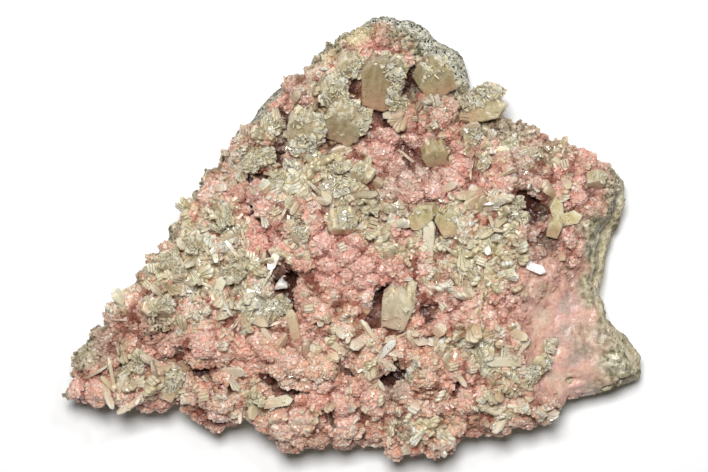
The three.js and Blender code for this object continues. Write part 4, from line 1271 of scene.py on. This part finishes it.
def body_piece(node):
    name = node.removeprefix("stilbite_")
    glassy = name in GLASSY
    piece = (glassy_body if glassy else rough_body)(node, "crystal_" + name)
    mesh = piece.data
    points = points_of(mesh)
    normals = normals_of(mesh)
    middle = points.mean(axis=0)
    along = crystal_length(mesh)
    height = (points - middle) @ along
    climb = (height - height.min()) / max(height.max() - height.min(), 1e-6)

    patchy = smoothstep(slow_noise(points, 4.5, 16), -0.4, -0.05)
    crusted = smoothstep(normals @ CRUSTED_SIDE, 0.1, 0.5) * patchy
    if name in CLEAN_HALF:
        away = (points - middle)[:, :2] @ np.array(CLEAN_HALF[name])
        away += CLEAN_RAGGED * slow_noise(points, 2.5, 19)
        crusted *= 1 - smoothstep(away, -CLEAN_EDGE, CLEAN_EDGE)
    drawn_out = points - np.outer(height, along) * STRAIGHTNESS
    ridges = RIDGES["height"] * slow_noise(drawn_out, RIDGES["size"], 12)
    pits = WAVES["height"] * slow_noise(points, WAVES["size"], 14)
    pits += NODULES["height"] * (domes(points, NODULES["size"], 15) - 0.75)
    pits *= 0.3 + 0.7 * crusted
    relief = GLASSY_RIDGES * ridges if glassy else ridges + pits
    move_points(mesh, points + normals * relief[:, None])

    overgrown = crusted * OVERGROWN.get(name, USUAL_OVERGROWN)
    write_attributes(
        mesh,
        # painted see-through light: the pink crust glows through near the root
        root=1 - smoothstep(climb, -0.1, 0.7),
        # painted highlight on outward edges and towards the tip, painted shade in creases
        tip=0.7 * edge_highlight(mesh, 8) + 0.3 * climb,
        tint=TINTS.get(name, USUAL_TINT),
        tone=0.3 + 0.35 * slow_noise(points, 2.0, 13),
        head_tone=0.5,
        smoky=SMOKY.get(name, USUAL_SMOKE),
        over_cover=overgrown,
        # painted shade: the gaps of the overgrowth are painted dark
        crusted=overgrown,
    )
    if glassy:
        mesh.shade_flat()
    else:
        mesh.shade_smooth()
    dress(piece, CLEAR, node)
    return piece


crystal_nodes = sorted(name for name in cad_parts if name.startswith("stilbite_"))
bodies = [body_piece(node) for node in crystal_nodes]
print("large crystals:", len(bodies), "with", sum(triangles_of(b.data) for b in bodies), "triangles")

# %% [markdown]
# A second, younger growth sits on the crystals' crusted sides: thin flakes on edge, close
# together like lace, with a few small books of plates among them. It is scattered over a joined
# copy of all the bodies, which is deleted when the crystals stand.


# %% Overgrowth
def joined_copy(name, pieces):
    mesh = bpy.data.meshes.new(name)
    with opened(mesh) as whole:
        for piece in pieces:
            whole.from_mesh(piece.data)
    return new_object(name, mesh)


all_bodies = joined_copy("all_bodies", bodies)
body_points = points_of(all_bodies.data)
write_attributes(
    all_bodies.data,
    tint=0.5 + 0.22 * slow_noise(body_points, 3, 17),
    smoky=0.2 + 0.3 * slow_noise(body_points, 2.5, 18),
    # the overgrowth itself gets no painted root glow and no painted gap shade
    root=0,
    crusted=0,
)
grow_stilbite("stilbite_overgrowth", all_bodies, flake, "over_cover", 0.45, 9, 0.6, 1.6, 80, 0, 11)
grow_stilbite("stilbite_young_books", all_bodies, book, "over_cover", 1.3, 0.8, 1.2, 2.5, 80, -0.2, 12)
for helper in (all_bodies, *forms):
    bpy.data.objects.remove(helper)

# %% [markdown]
# ## Floor, light and camera
# A plain white floor in a dim white room. One softbox hangs almost overhead, a little to the
# north, as over a product table, so shadows are short and soft. A small lamp adds the sparkle of
# crystal faces, and a faint one fills in from the north-east. The camera looks down on the crystal
# face through a long lens, which keeps the outline free of perspective.

# %% Floor
FLOOR_HALF = 1.6
floor_mesh = bpy.data.meshes.new("floor")
floor_mesh.from_pydata(
    [(x * FLOOR_HALF, y * FLOOR_HALF, 0) for x, y in ((-1, -1), (1, -1), (1, 1), (-1, 1))],
    [], [(0, 1, 2, 3)],
)
pale = Finish("pale floor")
pale.feed(pale.shader, Base_Color=paint(246, 246, 246), Roughness=0.9)
floor_mesh.materials.append(pale.material)
floor = new_object("floor", floor_mesh)


# %% Light
ROOM_STRENGTH = 0.038


def softbox(name, place, size, power):
    data = bpy.data.lights.new(name, "AREA")
    data.shape = "SQUARE"
    data.size = size
    data.energy = power
    lamp = new_object(name, data)
    lamp.location = place
    lamp.rotation_euler = (-Vector(place)).to_track_quat("-Z", "Y").to_euler()


# Name, place and size in metres, power in watts.
softbox("key", (-0.05, 0.18, 0.82), 0.23, 7.5)
softbox("sparkle", (0.2, 0.3, 0.75), 0.05, 0.55)
softbox("east fill", (0.4, 0.4, 0.6), 0.3, 0.25)
scene.world = bpy.data.worlds.new("white room")
scene.world.use_nodes = True
room = scene.world.node_tree.nodes["Background"]
room.inputs["Color"].default_value = (1, 1, 1, 1)
room.inputs["Strength"].default_value = ROOM_STRENGTH
scene.view_settings.view_transform = "Standard"
print("lights:", [light.name for light in bpy.data.lights])

# %% Camera
LENS = 135
SENSOR = 36
FRAME_WIDTH = 169.9  # mm across the view at the height that the camera aims at
AIM = Vector((-0.5, -0.3, 14)) * MM
ELEVATION = math.radians(89.5)
distance = FRAME_WIDTH * LENS / SENSOR * MM
camera_data = bpy.data.cameras.new("camera")
camera_data.lens = LENS
camera_data.sensor_width = SENSOR
camera = new_object("camera", camera_data)
back = Vector((0, -math.cos(ELEVATION), math.sin(ELEVATION)))
camera.location = AIM + back * distance
camera.rotation_euler = (-back).to_track_quat("-Z", "Y").to_euler()
scene.camera = camera
print("camera distance:", round(distance, 3), "m")
